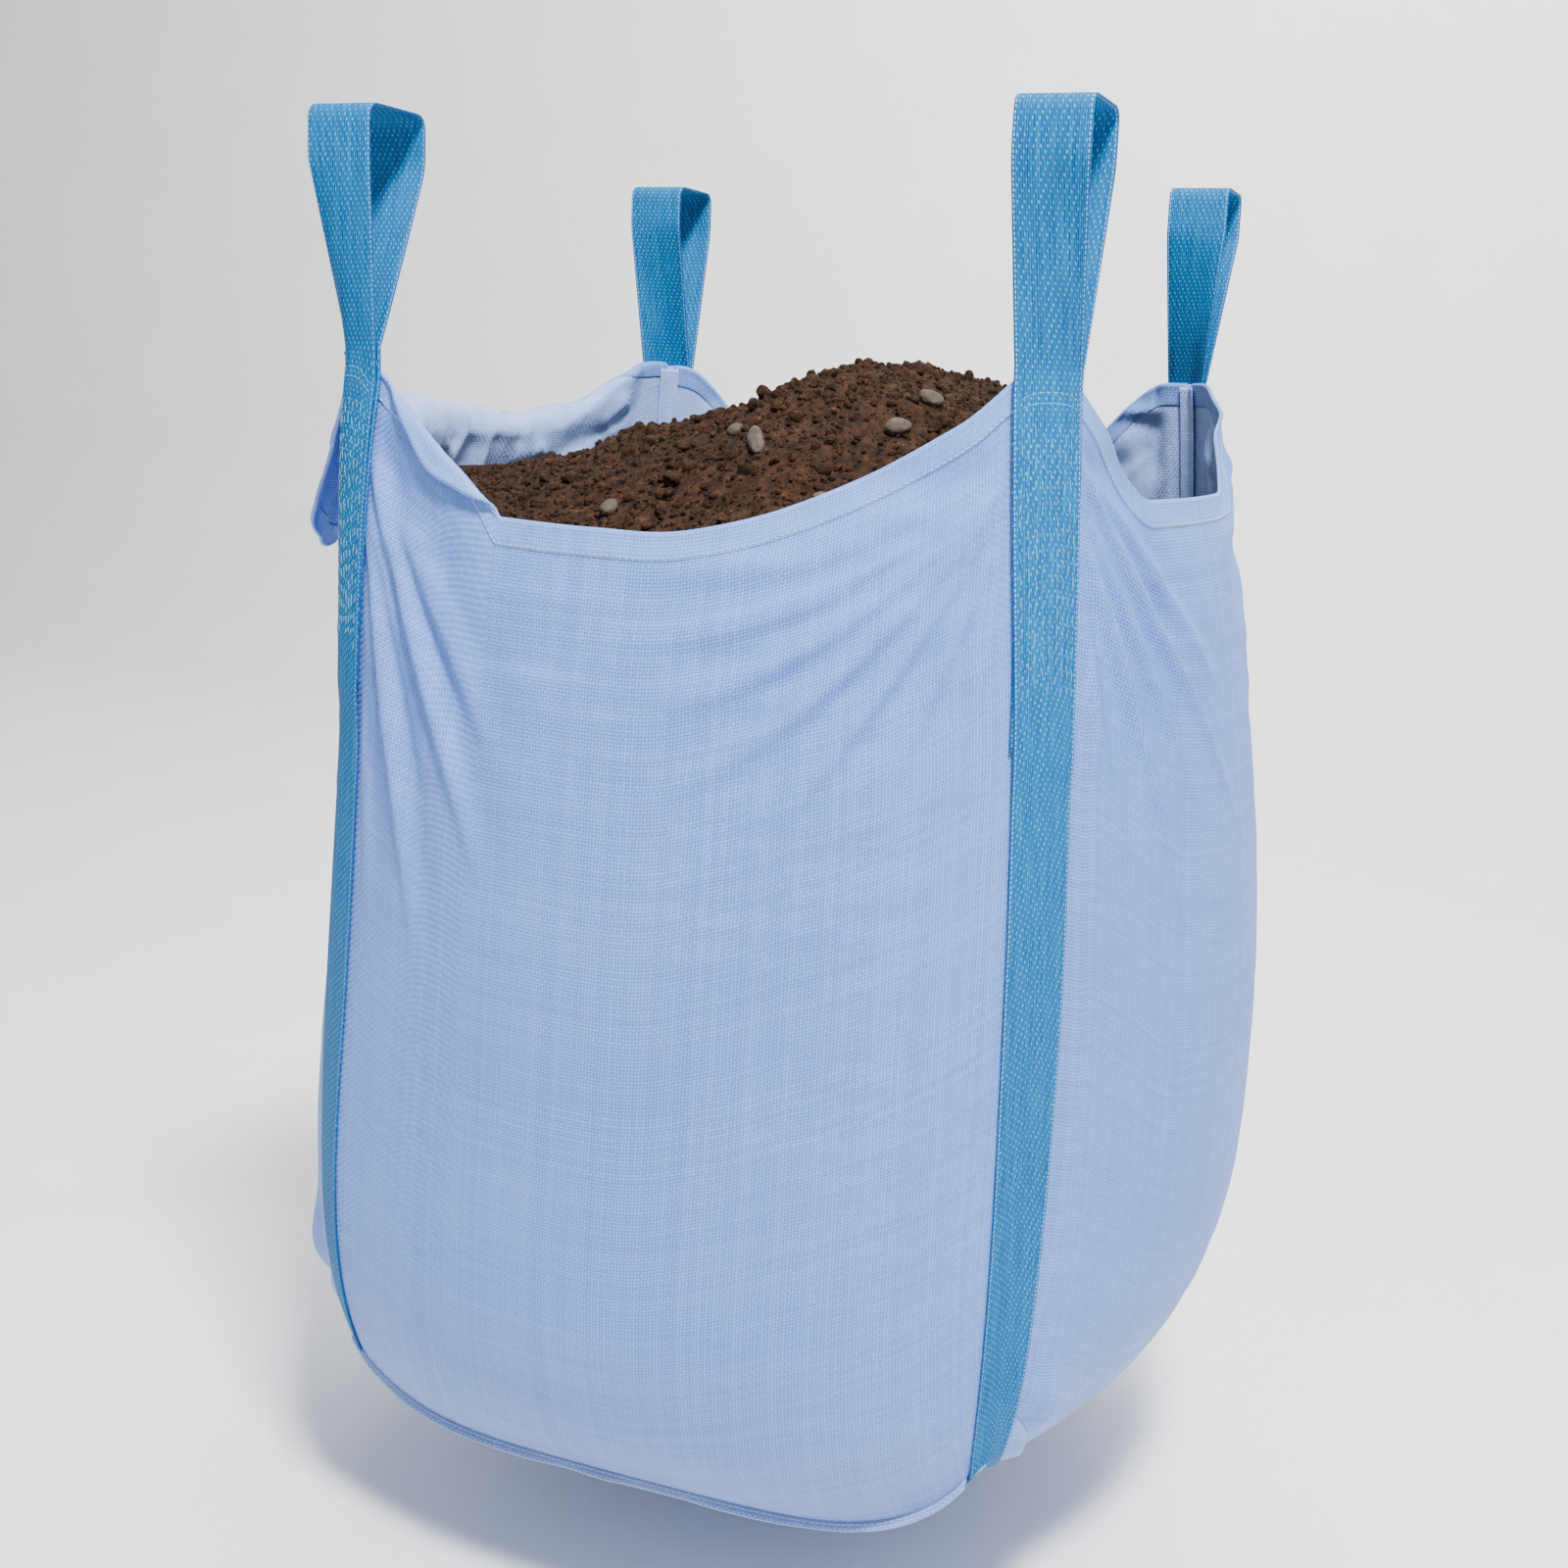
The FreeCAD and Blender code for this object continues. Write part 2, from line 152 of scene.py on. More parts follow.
def grid_normals(grid):
    return unit(np.cross(np.gradient(grid, axis=0), np.gradient(grid, axis=1)))


# ------------------------------------------------------------------ shape of the filled bag
# how far each corner stands out along its diagonal, at five levels from the mouth down
CORNER_LEANS = {"front_left": (0.016, -0.005, -0.008, 0.026, 0.040),
                "front_right": (0.000, -0.006, -0.001, 0.013, 0.020),
                "back_left": (0.000, -0.004, -0.004, 0.010, 0.022),
                "back_right": (0.000, -0.004, -0.004, 0.010, 0.018)}
ROUNDINGS = {-1: BASE_ROUNDING, 1: 2.7}      # the right flank curves in sooner
SAG = 0.012               # the base hangs this much below the design's
SEAM_POWER = {"front": 5.0, "back": 5.0, "left": 2.2, "right": 2.0}   # rise to the corners
BLUNT = 0.012             # the straps pull the lower corners in by this much


def corner_place(sign, down):
    """x, y and z of a corner line, from the mouth (0) down to the base (1)."""
    name = next(name for name, signs in CORNERS.items() if signs == tuple(sign))
    lean = np.polyval(np.polyfit(np.linspace(0, 1, 5), CORNER_LEANS[name], 4), down)
    out = CORNER_SWELL * np.sin(np.pi * down) + lean / math.sqrt(2)
    z = -MOUTH_TOP - down * CORNER_HEIGHT
    return np.stack([sign[0] * (HALF_X + out), sign[1] * (HALF_Y + out), z], axis=-1)


def bulge(drop, rounding=BASE_ROUNDING):
    """Distance from the axis to the middle of a panel at a depth below the seats."""
    above = BELLY_DROP - drop
    upper = BELLY - (BELLY - MOUTH_BULGE) * (above / (BELLY_DROP - MOUTH_DROP)) ** 2
    part = np.clip(-above / (BASE_DROP + SAG - BELLY_DROP), 0, 1)
    lower = BELLY * (1 - part ** rounding) ** (1 / rounding)
    return np.where(above > 0, upper, lower)


def base_drop_at(distance, rounding):
    part = np.abs(distance) / BELLY
    depth = (1 - part ** rounding) ** (1 / rounding)
    return BELLY_DROP + (BASE_DROP + SAG - BELLY_DROP) * depth


# how deep each rim hangs in its middle, and how it rises to the corners: a power of the
# distance from the middle, one for the half towards -1 and one for the half towards +1,
# or where a smooth rise begins and ends
RIMS = {"front": (0.392, 1.77, 1.77), "back": (0.390, (0.48, 0.96), (0.25, 0.917)),
        "left": (0.318, 3.0, (0.42, 0.97)), "right": (0.345, (0.52, 0.93), (0.28, 0.86))}
UNDER_STRAP = 0.935       # of the half width: from here out the rim is level, under a strap
LIP_END = 0.47            # the front rim turns outward between here and the left strap
LIP_RISE = 0.03           # what the front rim has risen by there
RIM_FADES = 0.30          # part of the height over which the rim's own curve dies out
BASE_LEAN = 0.008         # the filled bag hangs a little lower on the right
FRONT_SHARE = 0.5         # of the back corners' peak, at the front corners
BACK_PEAK = 0.022         # the cloth stands above the mouth at the two back corners


def rising(away, way):
    if isinstance(way, tuple):
        return smooth(away, *way)
    return np.minimum(away / UNDER_STRAP, 1) ** way


def rim_rise(side, across):
    """How far a rim has risen, from 0 at its lowest to 1 at the corners."""
    away = np.abs(across)
    rise = mix(rising(away, RIMS[side][1]), rising(away, RIMS[side][2]),
               smooth(across, -0.3, 0.3))
    if side != "front":
        return rise
    away = np.minimum(away / UNDER_STRAP, 1)
    steep = (1 - LIP_RISE) * np.clip((away - LIP_END) / (1 - LIP_END), 0, 1) ** 0.95
    turned = LIP_RISE * np.minimum(away / LIP_END, 1) ** 1.5 + steep
    return mix(turned, rise, smooth(across, -0.2, 0.2))


def panel_place(side, down, across, peak=0.0):
    """Outer cloth of one side without folds; down and across are arrays of one shape."""
    sx, sy = SIDES[side]
    ends = [(end, sy) if sx == 0 else (sx, end) for end in (-1, 1)]
    share = ((across + 1) / 2)[..., None]
    line = mix(corner_place(ends[0], down), corner_place(ends[1], down), share)
    depth, low = RIMS[side][0], SEAM_DROP + SAG
    drop = depth + down * (low - depth)
    hold = np.abs(across) ** mix(2.0, 2.3, smooth(down, 0.6, 1))
    sewn = np.abs(across) ** mix(2.0, SEAM_POWER[side], smooth(down, 0.5, 1))
    rise = mix(rim_rise(side, across), sewn, smooth(down, 0, RIM_FADES))
    z = line[..., 2] * rise - drop * (1 - rise)
    back = smooth(across if sy == 0 else np.abs(across) * (sy > 0), 0.6, 0.9)
    front = smooth(-across if sy == 0 else np.abs(across) * (sy < 0), 0.8, 0.95)
    z = z + peak * (back + FRONT_SHARE * front) * (1 - smooth(down, 0, 0.12))
    out = bulge(drop, ROUNDINGS[1 if side == "right" else -1]) * (1 - hold)
    if sx == 0:
        x, y = line[..., 0], line[..., 1] * hold + sy * out
    else:
        x, y = line[..., 0] * hold + sx * out, line[..., 1]
    inward = BLUNT / math.sqrt(2) * near_corner(across) * smooth(down, 0.45, 0.85)
    x = x - np.where(sx == 0, np.sign(across), sx) * inward
    y = y - np.where(sy == 0, np.sign(across), sy) * inward
    return leaned(np.stack([x, y, z], axis=-1))


def near_corner(across):
    return np.clip((np.abs(across) - 0.86) / 0.14, 0, 1) ** 1.5


def leaned(points):
    depth = smooth(-points[..., 2], MOUTH_TOP, SEAM_DROP)
    points = points.copy()
    points[..., 2] -= BASE_LEAN * points[..., 0] / HALF_X * depth
    return points


def base_place(along, across):
    """Outer cloth of the base: along is 1 at the right edge, across runs in Y."""
    feet = {sign: corner_place(sign, np.float64(1.0)) for sign in CORNERS.values()}
    part, aside = ((along + 1) / 2)[..., None], ((across + 1) / 2)[..., None]
    low, rounding = SEAM_DROP + SAG, np.where(along > 0, ROUNDINGS[1], ROUNDINGS[-1])
    seam_out = float(bulge(low))
    hold, sewn = np.abs(along) ** 2.3, np.abs(along) ** SEAM_POWER["front"]
    edges = []
    for sy in (-1, 1):
        edge = mix(feet[(-1, sy)], feet[(1, sy)], part)
        edge[..., 1] = edge[..., 1] * hold + sy * seam_out * (1 - hold)
        edge[..., 2] = edge[..., 2] * sewn - low * (1 - sewn)
        edges.append(edge)
    place = mix(edges[0], edges[1], aside)
    reach = np.where(along > 0, float(bulge(low, ROUNDINGS[1])), seam_out)
    middle_x = reach * along
    power = mix(SEAM_POWER["left"], SEAM_POWER["right"], (along + 1) / 2)
    hold, sewn = np.abs(across) ** 2.3, np.abs(across) ** power
    place[..., 0] = place[..., 0] * hold + middle_x * (1 - hold)
    place[..., 2] = place[..., 2] * sewn - base_drop_at(middle_x, rounding) * (1 - sewn)
    inward = BLUNT / math.sqrt(2) * near_corner(along) * near_corner(across)
    place[..., 0] -= np.sign(along) * inward
    place[..., 1] -= np.sign(across) * inward
    return leaned(place)


HEART = np.array([0, 0, -BELLY_DROP])


def outward_normals(grid):
    normals = grid_normals(grid)
    middle = grid[grid.shape[0] // 2, grid.shape[1] // 2]
    facing = np.dot(normals[grid.shape[0] // 2, grid.shape[1] // 2], middle - HEART)
    return normals if facing > 0 else -normals


# ------------------------------------------------------------------ folds in the cloth
SEWN = 0.037              # cloth this near a corner line is held flat under the strap

# folds that fan out from the front corners, on the front and right sides: angle from the
# strap, bend, start, end, width and height
FRONT_LEFT_FOLDS = [(0.10, 0.05, 0.05, 0.60, 0.010, 0.0095),
                    (0.19, 0.00, 0.09, 0.48, 0.010, 0.0081),
                    (0.29, -0.02, 0.04, 0.66, 0.011, 0.0142),
                    (0.385, 0.00, 0.11, 0.46, 0.011, 0.0088),
                    (0.48, 0.03, 0.06, 0.60, 0.012, 0.0135),
                    (0.60, 0.10, 0.14, 0.50, 0.014, 0.0101)]
FRONT_RIGHT_FOLDS = [(0.22, 0.05, 0.08, 0.44, 0.011, 0.0050),
                     (0.34, 0.12, 0.06, 0.50, 0.011, 0.0068),
                     (0.41, 0.35, 0.07, 0.60, 0.012, 0.0090),
                     (0.45, 0.62, 0.05, 0.64, 0.013, 0.0105),
                     (0.50, 0.84, 0.08, 0.60, 0.013, 0.0098),
                     (0.58, 0.98, 0.07, 0.56, 0.014, 0.0088),
                     (0.70, 1.02, 0.10, 0.52, 0.015, 0.0070)]
RIGHT_FOLDS = [(0.22, 0.00, 0.05, 0.46, 0.008, 0.0085),
               (0.36, 0.05, 0.04, 0.60, 0.009, 0.0130),
               (0.50, 0.08, 0.07, 0.52, 0.009, 0.0110),
               (0.64, 0.10, 0.04, 0.62, 0.010, 0.0130),
               (0.80, 0.12, 0.08, 0.50, 0.011, 0.0100)]


def fold_list(seed, count):
    """Folds of the same kind for the other corners."""
    random = np.random.default_rng(seed)
    angles = np.linspace(0.14, 0.95, count) + random.uniform(-0.04, 0.04, count)
    return [(angle, random.uniform(-0.1, 0.6), random.uniform(0.04, 0.11),
             random.uniform(0.38, 0.60), random.uniform(0.011, 0.015),
             random.uniform(0.0055, 0.0095)) for angle in angles]


def fan_of_folds(away, below, folds):
    """Height of the folds at a distance away from a corner line and below the mouth."""
    reach = np.hypot(away, below)
    angle = np.arctan2(away, np.maximum(below, -0.2))
    height = np.zeros_like(away)
    for start_angle, bend, start, end, width, high in folds:
        narrow = width * np.clip(reach / 0.16, 0.25, 1) ** 0.6
        side = (angle - start_angle - bend * reach) * reach / narrow
        side = np.where(side > 0, side * 0.75, side * 1.3)
        shape = np.exp(-side ** 2) - 0.45 * np.exp(-((side - 1.9) / 1.3) ** 2)
        envelope = smooth(reach, start, start + 0.08) * (1 - smooth(reach, end * 0.45, end))
        height += high * shape * envelope
    return height


RIM_CRUMPLE = 0.012       # crumples under the left and back rims
TUCK, CREST = 0.005, 0.008      # a hollow and a ridge by the right side's back strap
POUCH = 0.020             # how far the flanks bulge just above the bottom corners
FOLDS = {"front": (11, FRONT_LEFT_FOLDS, FRONT_RIGHT_FOLDS),
         "back": (23, fold_list(231, 6), fold_list(232, 6)),
         "right": (37, RIGHT_FOLDS, fold_list(372, 5)),
         "left": (41, fold_list(411, 6), fold_list(412, 6))}     # seed and folds at each end
ROWS, COLUMNS, BASE_ROWS, COLLAR_ROWS = 230, 200, 110, 34


def panel_relief(side, points, away_first, away_last, below, down):
    """Folds, slack and lumps of one side panel, as a height along its normal."""
    seed, first, last = FOLDS[side]
    height = fan_of_folds(away_first, below, first) + fan_of_folds(away_last, below, last)
    lower = smooth(below, 0.25, 0.7)
    wander = value_noise(points, 0.16, seed)
    slack = value_noise(points * np.array([1, 1, 2.2]), 0.10, seed + 3)
    lumps = value_noise(points, 0.30, seed + 5)
    ripple = value_noise(points * np.array([0.45, 0.45, 3.2]), 0.055, seed + 7)
    height += 0.0026 * slack * (1 - lower) + 0.0034 * lumps + 0.0012 * wander
    height += 0.0010 * ripple * (1 - 0.4 * lower)
    if side in ("left", "back"):
        near_rim = 1 - smooth(below, 0.06, 0.20)
        height -= RIM_CRUMPLE * (ridged(points, 0.10, seed + 8) - 0.6) * near_rim
    if side in ("left", "right"):
        for away in (away_first, away_last):
            pouch = np.exp(-((away - 0.075) / 0.042) ** 2 - ((down - 0.925) / 0.050) ** 2)
            height += POUCH * pouch
    if side == "right":
        tuck = np.exp(-((away_last - 0.085) / 0.022) ** 2) * smooth(below, 0.0, 0.05)
        height -= TUCK * tuck * (1 - smooth(below, 0.08, 0.24))
        crest = np.exp(-((away_last - 0.135) / 0.022) ** 2) * (1 - smooth(below, 0.15, 0.5))
        height += CREST * crest
    return height


def side_grid(side):
    down, across = np.meshgrid(np.linspace(0, 1, ROWS), np.linspace(-1, 1, COLUMNS),
                               indexing="ij")
    grid = panel_place(side, down, across, BACK_PEAK)
    away_first = (across + 1) / 2 * PANEL_WIDTH
    away_last = PANEL_WIDTH - away_first
    near_strap = smooth(np.minimum(away_first, away_last), SEWN, SEWN + 0.03)
    near_seam = 1 - smooth(down, 0.93, 0.995)
    below = -grid[..., 2] - MOUTH_TOP
    height = panel_relief(side, grid, away_first, away_last, below, down)
    pucker = np.sin(across * 95 + 2.5 * value_noise(grid, 0.08, 19))
    height += 0.0011 * pucker * smooth(down, 0.86, 0.97) * near_seam
    held = near_strap * near_seam
    return grid + outward_normals(grid) * (height * held)[..., None]


COLLAR_LENGTH = 0.185     # the left rim has slack, which folds over outward
COLLAR_RADIUS = 0.033
COLLAR_TURN = 0.90        # of half a turn
COLLAR_CRUMPLE = 0.011


def turned_over(rim, up, out, length, radius, most, rows):
    """Cloth beyond a rim that turns over: rows from its free edge to just before the rim."""
    grid = []
    for share in np.linspace(1, 0, rows, endpoint=False):
        run = share * length
        turn = np.minimum(run / radius, most)
        hang = np.maximum(run - radius * most, 0)
        aside = radius * (1 - np.cos(turn)) + hang * np.sin(turn)
        above = radius * np.sin(turn) + hang * np.cos(turn)
        grid.append(rim + out * aside[:, None] + up * above[:, None])
    return np.array(grid)


def collar_grid(rim):
    """The slack of the left rim, which rolls outward and hangs."""
    across = np.linspace(-1, 1, rim.shape[0])
    fade = smooth(across, -0.93, -0.50) * (1 - smooth(across, 0.40, 0.93))
    lobe = 0.20 * np.exp(-((across + 0.40) / 0.13) ** 2)
    dip = 0.30 * np.exp(-((across + 0.66) / 0.04) ** 2)
    uneven = 1 + (lobe - dip) + 0.16 * value_noise(rim, 0.16, 51)
    length = 0.012 + COLLAR_LENGTH * fade * (1 - 0.22 * across) * uneven
    notch = 0.35 * np.exp(-((across - 0.27) / 0.05) ** 2)
    radius = 0.004 + COLLAR_RADIUS * fade * (1 - 0.35 * smooth(across, -0.1, 0.5) - notch)
    rows = turned_over(rim, np.array([0, 0, 1.0]), np.array([-1.0, 0, 0]), length, radius,
                       math.pi * COLLAR_TURN, COLLAR_ROWS)
    share = np.linspace(1, 0, COLLAR_ROWS, endpoint=False)[:, None]
    crumple = COLLAR_CRUMPLE * (ridged(rows, 0.10, 54) - 0.6) * fade * smooth(share, 0, 0.2)
    crumple = crumple * (1 - 0.8 * smooth(share, 0.7, 1))
    return rows - outward_normals(rows) * crumple[..., None]


LIP_ROWS, LIP_RADIUS = 12, 0.0040
# where a hem is turned over outward: across from and to, length and turn
LIPS = {"front": (-0.925, -LIP_END + 0.03, 0.030, 0.95)}


def lip_grid(side, grid):
    """A rim whose hem is turned over outward along a part of it."""
    first, last, length, turn = LIPS[side]
    rim, normal = grid[0], outward_normals(grid)[0]
    up = unit(np.cross(normal, unit(np.gradient(rim, axis=0))))
    up = up * np.sign(up[:, 2])[:, None]
    across = np.linspace(-1, 1, rim.shape[0])
    fold = smooth(across, first, first + 0.30) * (1 - smooth(across, last - 0.20, last)) ** 0.6
    long = mix(0.003, length * (1 + 0.10 * value_noise(rim, 0.05, 55)), fold)
    return turned_over(rim, up, normal, long, LIP_RADIUS,
                       mix(0.15, math.pi * turn, smooth(fold, 0, 0.25)), LIP_ROWS)


sides = {side: side_grid(side) for side in SIDES}
rim_grids = dict(sides)
rim_grids["left"] = np.concatenate([collar_grid(sides["left"][0]), sides["left"]])
for side in LIPS:
    rim_grids[side] = np.concatenate([lip_grid(side, sides[side]), sides[side]])


def base_grid():
    along, across = np.meshgrid(np.linspace(1, -1, BASE_ROWS), np.linspace(-1, 1, COLUMNS),
                                indexing="ij")
    grid = base_place(along, across)
    lumps = 0.004 * value_noise(grid, 0.12, 61) + 0.0015 * value_noise(grid, 0.04, 62)
    held = smooth(1 - np.abs(across), 0, 0.12) * smooth(1 - np.abs(along), 0, 0.05)
    return grid + outward_normals(grid) * (lumps * held)[..., None]


# ------------------------------------------------------------------ meshes from grids
def new_object(name, points, faces, materials, uv=None, slots=None):
    mesh = bpy.data.meshes.new(name)
    mesh.vertices.add(len(points))
    mesh.vertices.foreach_set("co", np.ascontiguousarray(points, dtype=np.float32).ravel())
    mesh.loops.add(faces.size)
    mesh.loops.foreach_set("vertex_index", faces.ravel().astype(np.int32))
    mesh.polygons.add(len(faces))
    starts = np.arange(0, faces.size, faces.shape[1], dtype=np.int32)
    mesh.polygons.foreach_set("loop_start", starts)
    if slots is not None:
        mesh.polygons.foreach_set("material_index", slots.astype(np.int32))
    mesh.polygons.foreach_set("use_smooth", np.ones(len(faces), dtype=bool))
    if uv is not None:
        layer = mesh.uv_layers.new(name="flat")
        layer.data.foreach_set("uv", uv[faces.ravel()].astype(np.float32).ravel())
    mesh.update(calc_edges=True)
    for material in materials:
        mesh.materials.append(material)
    item = bpy.data.objects.new(name, mesh)
    bpy.context.scene.collection.objects.link(item)
    return item


def grid_faces(rows, columns, first=0):
    index = first + np.arange(rows * columns).reshape(rows, columns)
    return np.stack([index[:-1, :-1], index[:-1, 1:], index[1:, 1:], index[1:, :-1]],
                    axis=-1).reshape(-1, 4)


def lengths_along(grid):
    """Distance along each column from the first row, and along each row from its middle."""
    down = np.linalg.norm(np.diff(grid, axis=0), axis=-1)
    down = np.concatenate([np.zeros((1, grid.shape[1])), np.cumsum(down, axis=0)])
    across = np.linalg.norm(np.diff(grid, axis=1), axis=-1)
    across = np.concatenate([np.zeros((grid.shape[0], 1)), np.cumsum(across, axis=1)], axis=1)
    across -= across[:, across.shape[1] // 2][:, None]
    return down, across


def shell(name, outer, inner, materials):
    """A closed piece between two grids: the second material, if any, is on the inner one."""
    rows, columns = outer.shape[:2]
    count = rows * columns
    down, across = lengths_along(outer)
    faces = grid_faces(rows, columns)
    back = grid_faces(rows, columns, count)[:, ::-1]
    index = np.arange(count).reshape(rows, columns)
    ring = np.concatenate([index[0, :-1], index[:-1, -1], index[-1, :0:-1], index[:0:-1, 0]])
    after = np.roll(ring, -1)
    walls = np.stack([ring, ring + count, after + count, after], axis=-1)
    faces = np.concatenate([faces, back, walls])
    middle = outer[rows // 2, columns // 2]
    quad = outer[rows // 2:rows // 2 + 2, columns // 2:columns // 2 + 2]
    facing = np.cross(quad[0, 1] - quad[0, 0], quad[1, 0] - quad[0, 0])
    if np.dot(facing, middle - inner[rows // 2, columns // 2]) < 0:
        faces = faces[:, ::-1]
    slots = np.zeros(len(faces))
    if len(materials) > 1:
        slots[(rows - 1) * (columns - 1):2 * (rows - 1) * (columns - 1)] = 1
    points = np.concatenate([outer.reshape(-1, 3), inner.reshape(-1, 3)])
    uv = np.concatenate([np.stack([across, down], axis=-1).reshape(-1, 2)] * 2)
    return new_object(name, points, faces, materials, uv, slots)


def grown(grid, distance):
    return grid + outward_normals(grid) * distance


# ------------------------------------------------------------------ materials
class Nodes:
    """Short calls that add shader nodes and link them."""

    def __init__(self, name):
        self.material = bpy.data.materials.new(name)
        self.material.use_nodes = True
        self.tree = self.material.node_tree
        self.shader = self.tree.nodes["Principled BSDF"]

    def add(self, kind, **values):
        node = self.tree.nodes.new(kind)
        for key, value in values.items():
            setattr(node, key, value)
        return node

    def feed(self, socket, value):
        if isinstance(value, bpy.types.NodeSocket):
            self.tree.links.new(value, socket)
        else:
            socket.default_value = value

    def math(self, operation, *values):
        node = self.add("ShaderNodeMath", operation=operation)
        for socket, value in zip(node.inputs, values):
            self.feed(socket, value)
        return node.outputs[0]

    def noise(self, vector, scale, detail=2.0, roughness=0.5):
        node = self.add("ShaderNodeTexNoise")
        self.feed(node.inputs["Vector"], vector)
        node.inputs["Scale"].default_value = scale
        node.inputs["Detail"].default_value = detail
        node.inputs["Roughness"].default_value = roughness
        return node.outputs["Fac"]

    def stretched(self, vector, scale):
        node = self.add("ShaderNodeMapping")
        self.feed(node.inputs["Vector"], vector)
        node.inputs["Scale"].default_value = scale
        return node.outputs[0]

    def place(self):
        return self.add("ShaderNodeTexCoord").outputs["Object"]

    def flat(self):
        return self.add("ShaderNodeUVMap", uv_map="flat").outputs["UV"]

    def split(self, vector):
        node = self.add("ShaderNodeSeparateXYZ")
        self.feed(node.inputs[0], vector)
        return node.outputs

    def random(self, value):
        node = self.add("ShaderNodeTexWhiteNoise", noise_dimensions="1D")
        self.feed(node.inputs["W"], value)
        return node.outputs["Value"]

    def ramp(self, factor, stops):
        node = self.add("ShaderNodeValToRGB")
        self.feed(node.inputs[0], factor)
        elements = node.color_ramp.elements
        while len(elements) < len(stops):
            elements.new(0.5)
        for element, (position, colour) in zip(elements, stops):
            element.position = position
            element.color = (*colour, 1)
        return node.outputs[0]

    def blend(self, factor, first, second):
        node = self.add("ShaderNodeMix", data_type="RGBA")
        self.feed(node.inputs[0], factor)
        for socket, value in zip(node.inputs[6:8], (first, second)):
            self.feed(socket, value if isinstance(value, bpy.types.NodeSocket) else (*value, 1))
        return node.outputs[2]

    def ranged(self, value, low, high, top, **values):
        """From 0 to top as the value goes from low to high."""
        node = self.add("ShaderNodeMapRange", **values)
        self.feed(node.inputs["Value"], value)
        for socket, number in (("From Min", low), ("From Max", high), ("To Max", top)):
            node.inputs[socket].default_value = number
        return node.outputs[0]

    def bump(self, height, distance, under=None):
        node = self.add("ShaderNodeBump")
        self.feed(node.inputs["Height"], height)
        node.inputs["Distance"].default_value = distance
        node.inputs["Strength"].default_value = 1.0
        if under is not None:
            self.feed(node.inputs["Normal"], under)
        return node.outputs[0]

    def finish(self, colour, roughness, normal, specular=0.5, sheen=0.0):
        self.feed(self.shader.inputs["Base Color"], colour)
        self.feed(self.shader.inputs["Roughness"], roughness)
        self.feed(self.shader.inputs["Normal"], normal)
        self.shader.inputs["Specular IOR Level"].default_value = specular
        self.shader.inputs["Sheen Weight"].default_value = sheen
        return self.material


# ------------------------------------------------------------------ finishes
TAPE = 0.0034             # pitch of the woven tapes
FLOAT_LONG, FLOAT_WIDE, RIB = 0.0046, 0.0060, 0.0022     # pitches in the webbing's twill


def weave(nodes):
    """Height of a plain weave of flat tapes, and a random brightness for each tape."""
    along = nodes.split(nodes.flat())
    counts = [nodes.math("DIVIDE", along[axis], TAPE) for axis in (0, 1)]
    whole = [nodes.math("FLOOR", count) for count in counts]
    turn = nodes.math("MULTIPLY", nodes.math("ADD", *whole), 0.5)
    over = nodes.math("MULTIPLY", nodes.math("FRACT", turn), 2.0)
    humps = [nodes.math("PINGPONG", count, 0.5) for count in counts]
    warp = nodes.math("MULTIPLY", humps[0], over)
    weft = nodes.math("MULTIPLY", humps[1], nodes.math("SUBTRACT", 1.0, over))
    height = nodes.math("SQRT", nodes.math("ADD", warp, weft))
    shades = [nodes.random(nodes.math("ADD", number, 17.3 + axis))
              for axis, number in enumerate(whole)]
    shade = nodes.math("ADD", nodes.math("MULTIPLY", shades[0], over),
                       nodes.math("MULTIPLY", shades[1], nodes.math("SUBTRACT", 1.0, over)))
    return height, shade


def cloth_material(name, pale, dull, roughness, weave_depth, crinkle_depth, dirt):
    nodes = Nodes(name)
    height, shade = weave(nodes)
    place = nodes.place()
    bands = nodes.noise(nodes.stretched(nodes.flat(), (90, 2.5, 1)), 1.0, 3, 0.6)
    wefts = nodes.noise(nodes.stretched(nodes.flat(), (2.5, 110, 1)), 1.0, 3, 0.6)
    clouds = nodes.noise(place, 5.0, 3, 0.6)
    tone = nodes.math("MULTIPLY_ADD", shade, 0.16, nodes.math("MULTIPLY", bands, 0.12))
    tone = nodes.math("MULTIPLY_ADD", wefts, 0.10, tone)
    tone = nodes.math("MULTIPLY_ADD", clouds, 0.20, tone)
    # the weave's height also sets the colour, paler on the tapes' crowns and darker in the gaps
    # between them: painted shade in the weave's hollows
    tone = nodes.math("MULTIPLY_ADD", height, 1.10, nodes.math("SUBTRACT", tone, 0.32))
    colour = nodes.ramp(tone, [(0.15, dull), (0.80, pale)])
    stain = nodes.noise(place, 9.0, 5, 0.65)
    low_part = nodes.ranged(nodes.split(place)[2], -1.15, -1.42, dirt)
    share = nodes.math("MULTIPLY", stain, low_part)
    colour = nodes.blend(share, colour, (0.42, 0.33, 0.25))
    crinkle = nodes.noise(nodes.stretched(place, (1, 1, 0.6)), 42.0, 4, 0.6)
    normal = nodes.bump(crinkle, crinkle_depth)
    normal = nodes.bump(height, weave_depth, under=normal)
    return nodes.finish(colour, roughness, normal, 0.35)


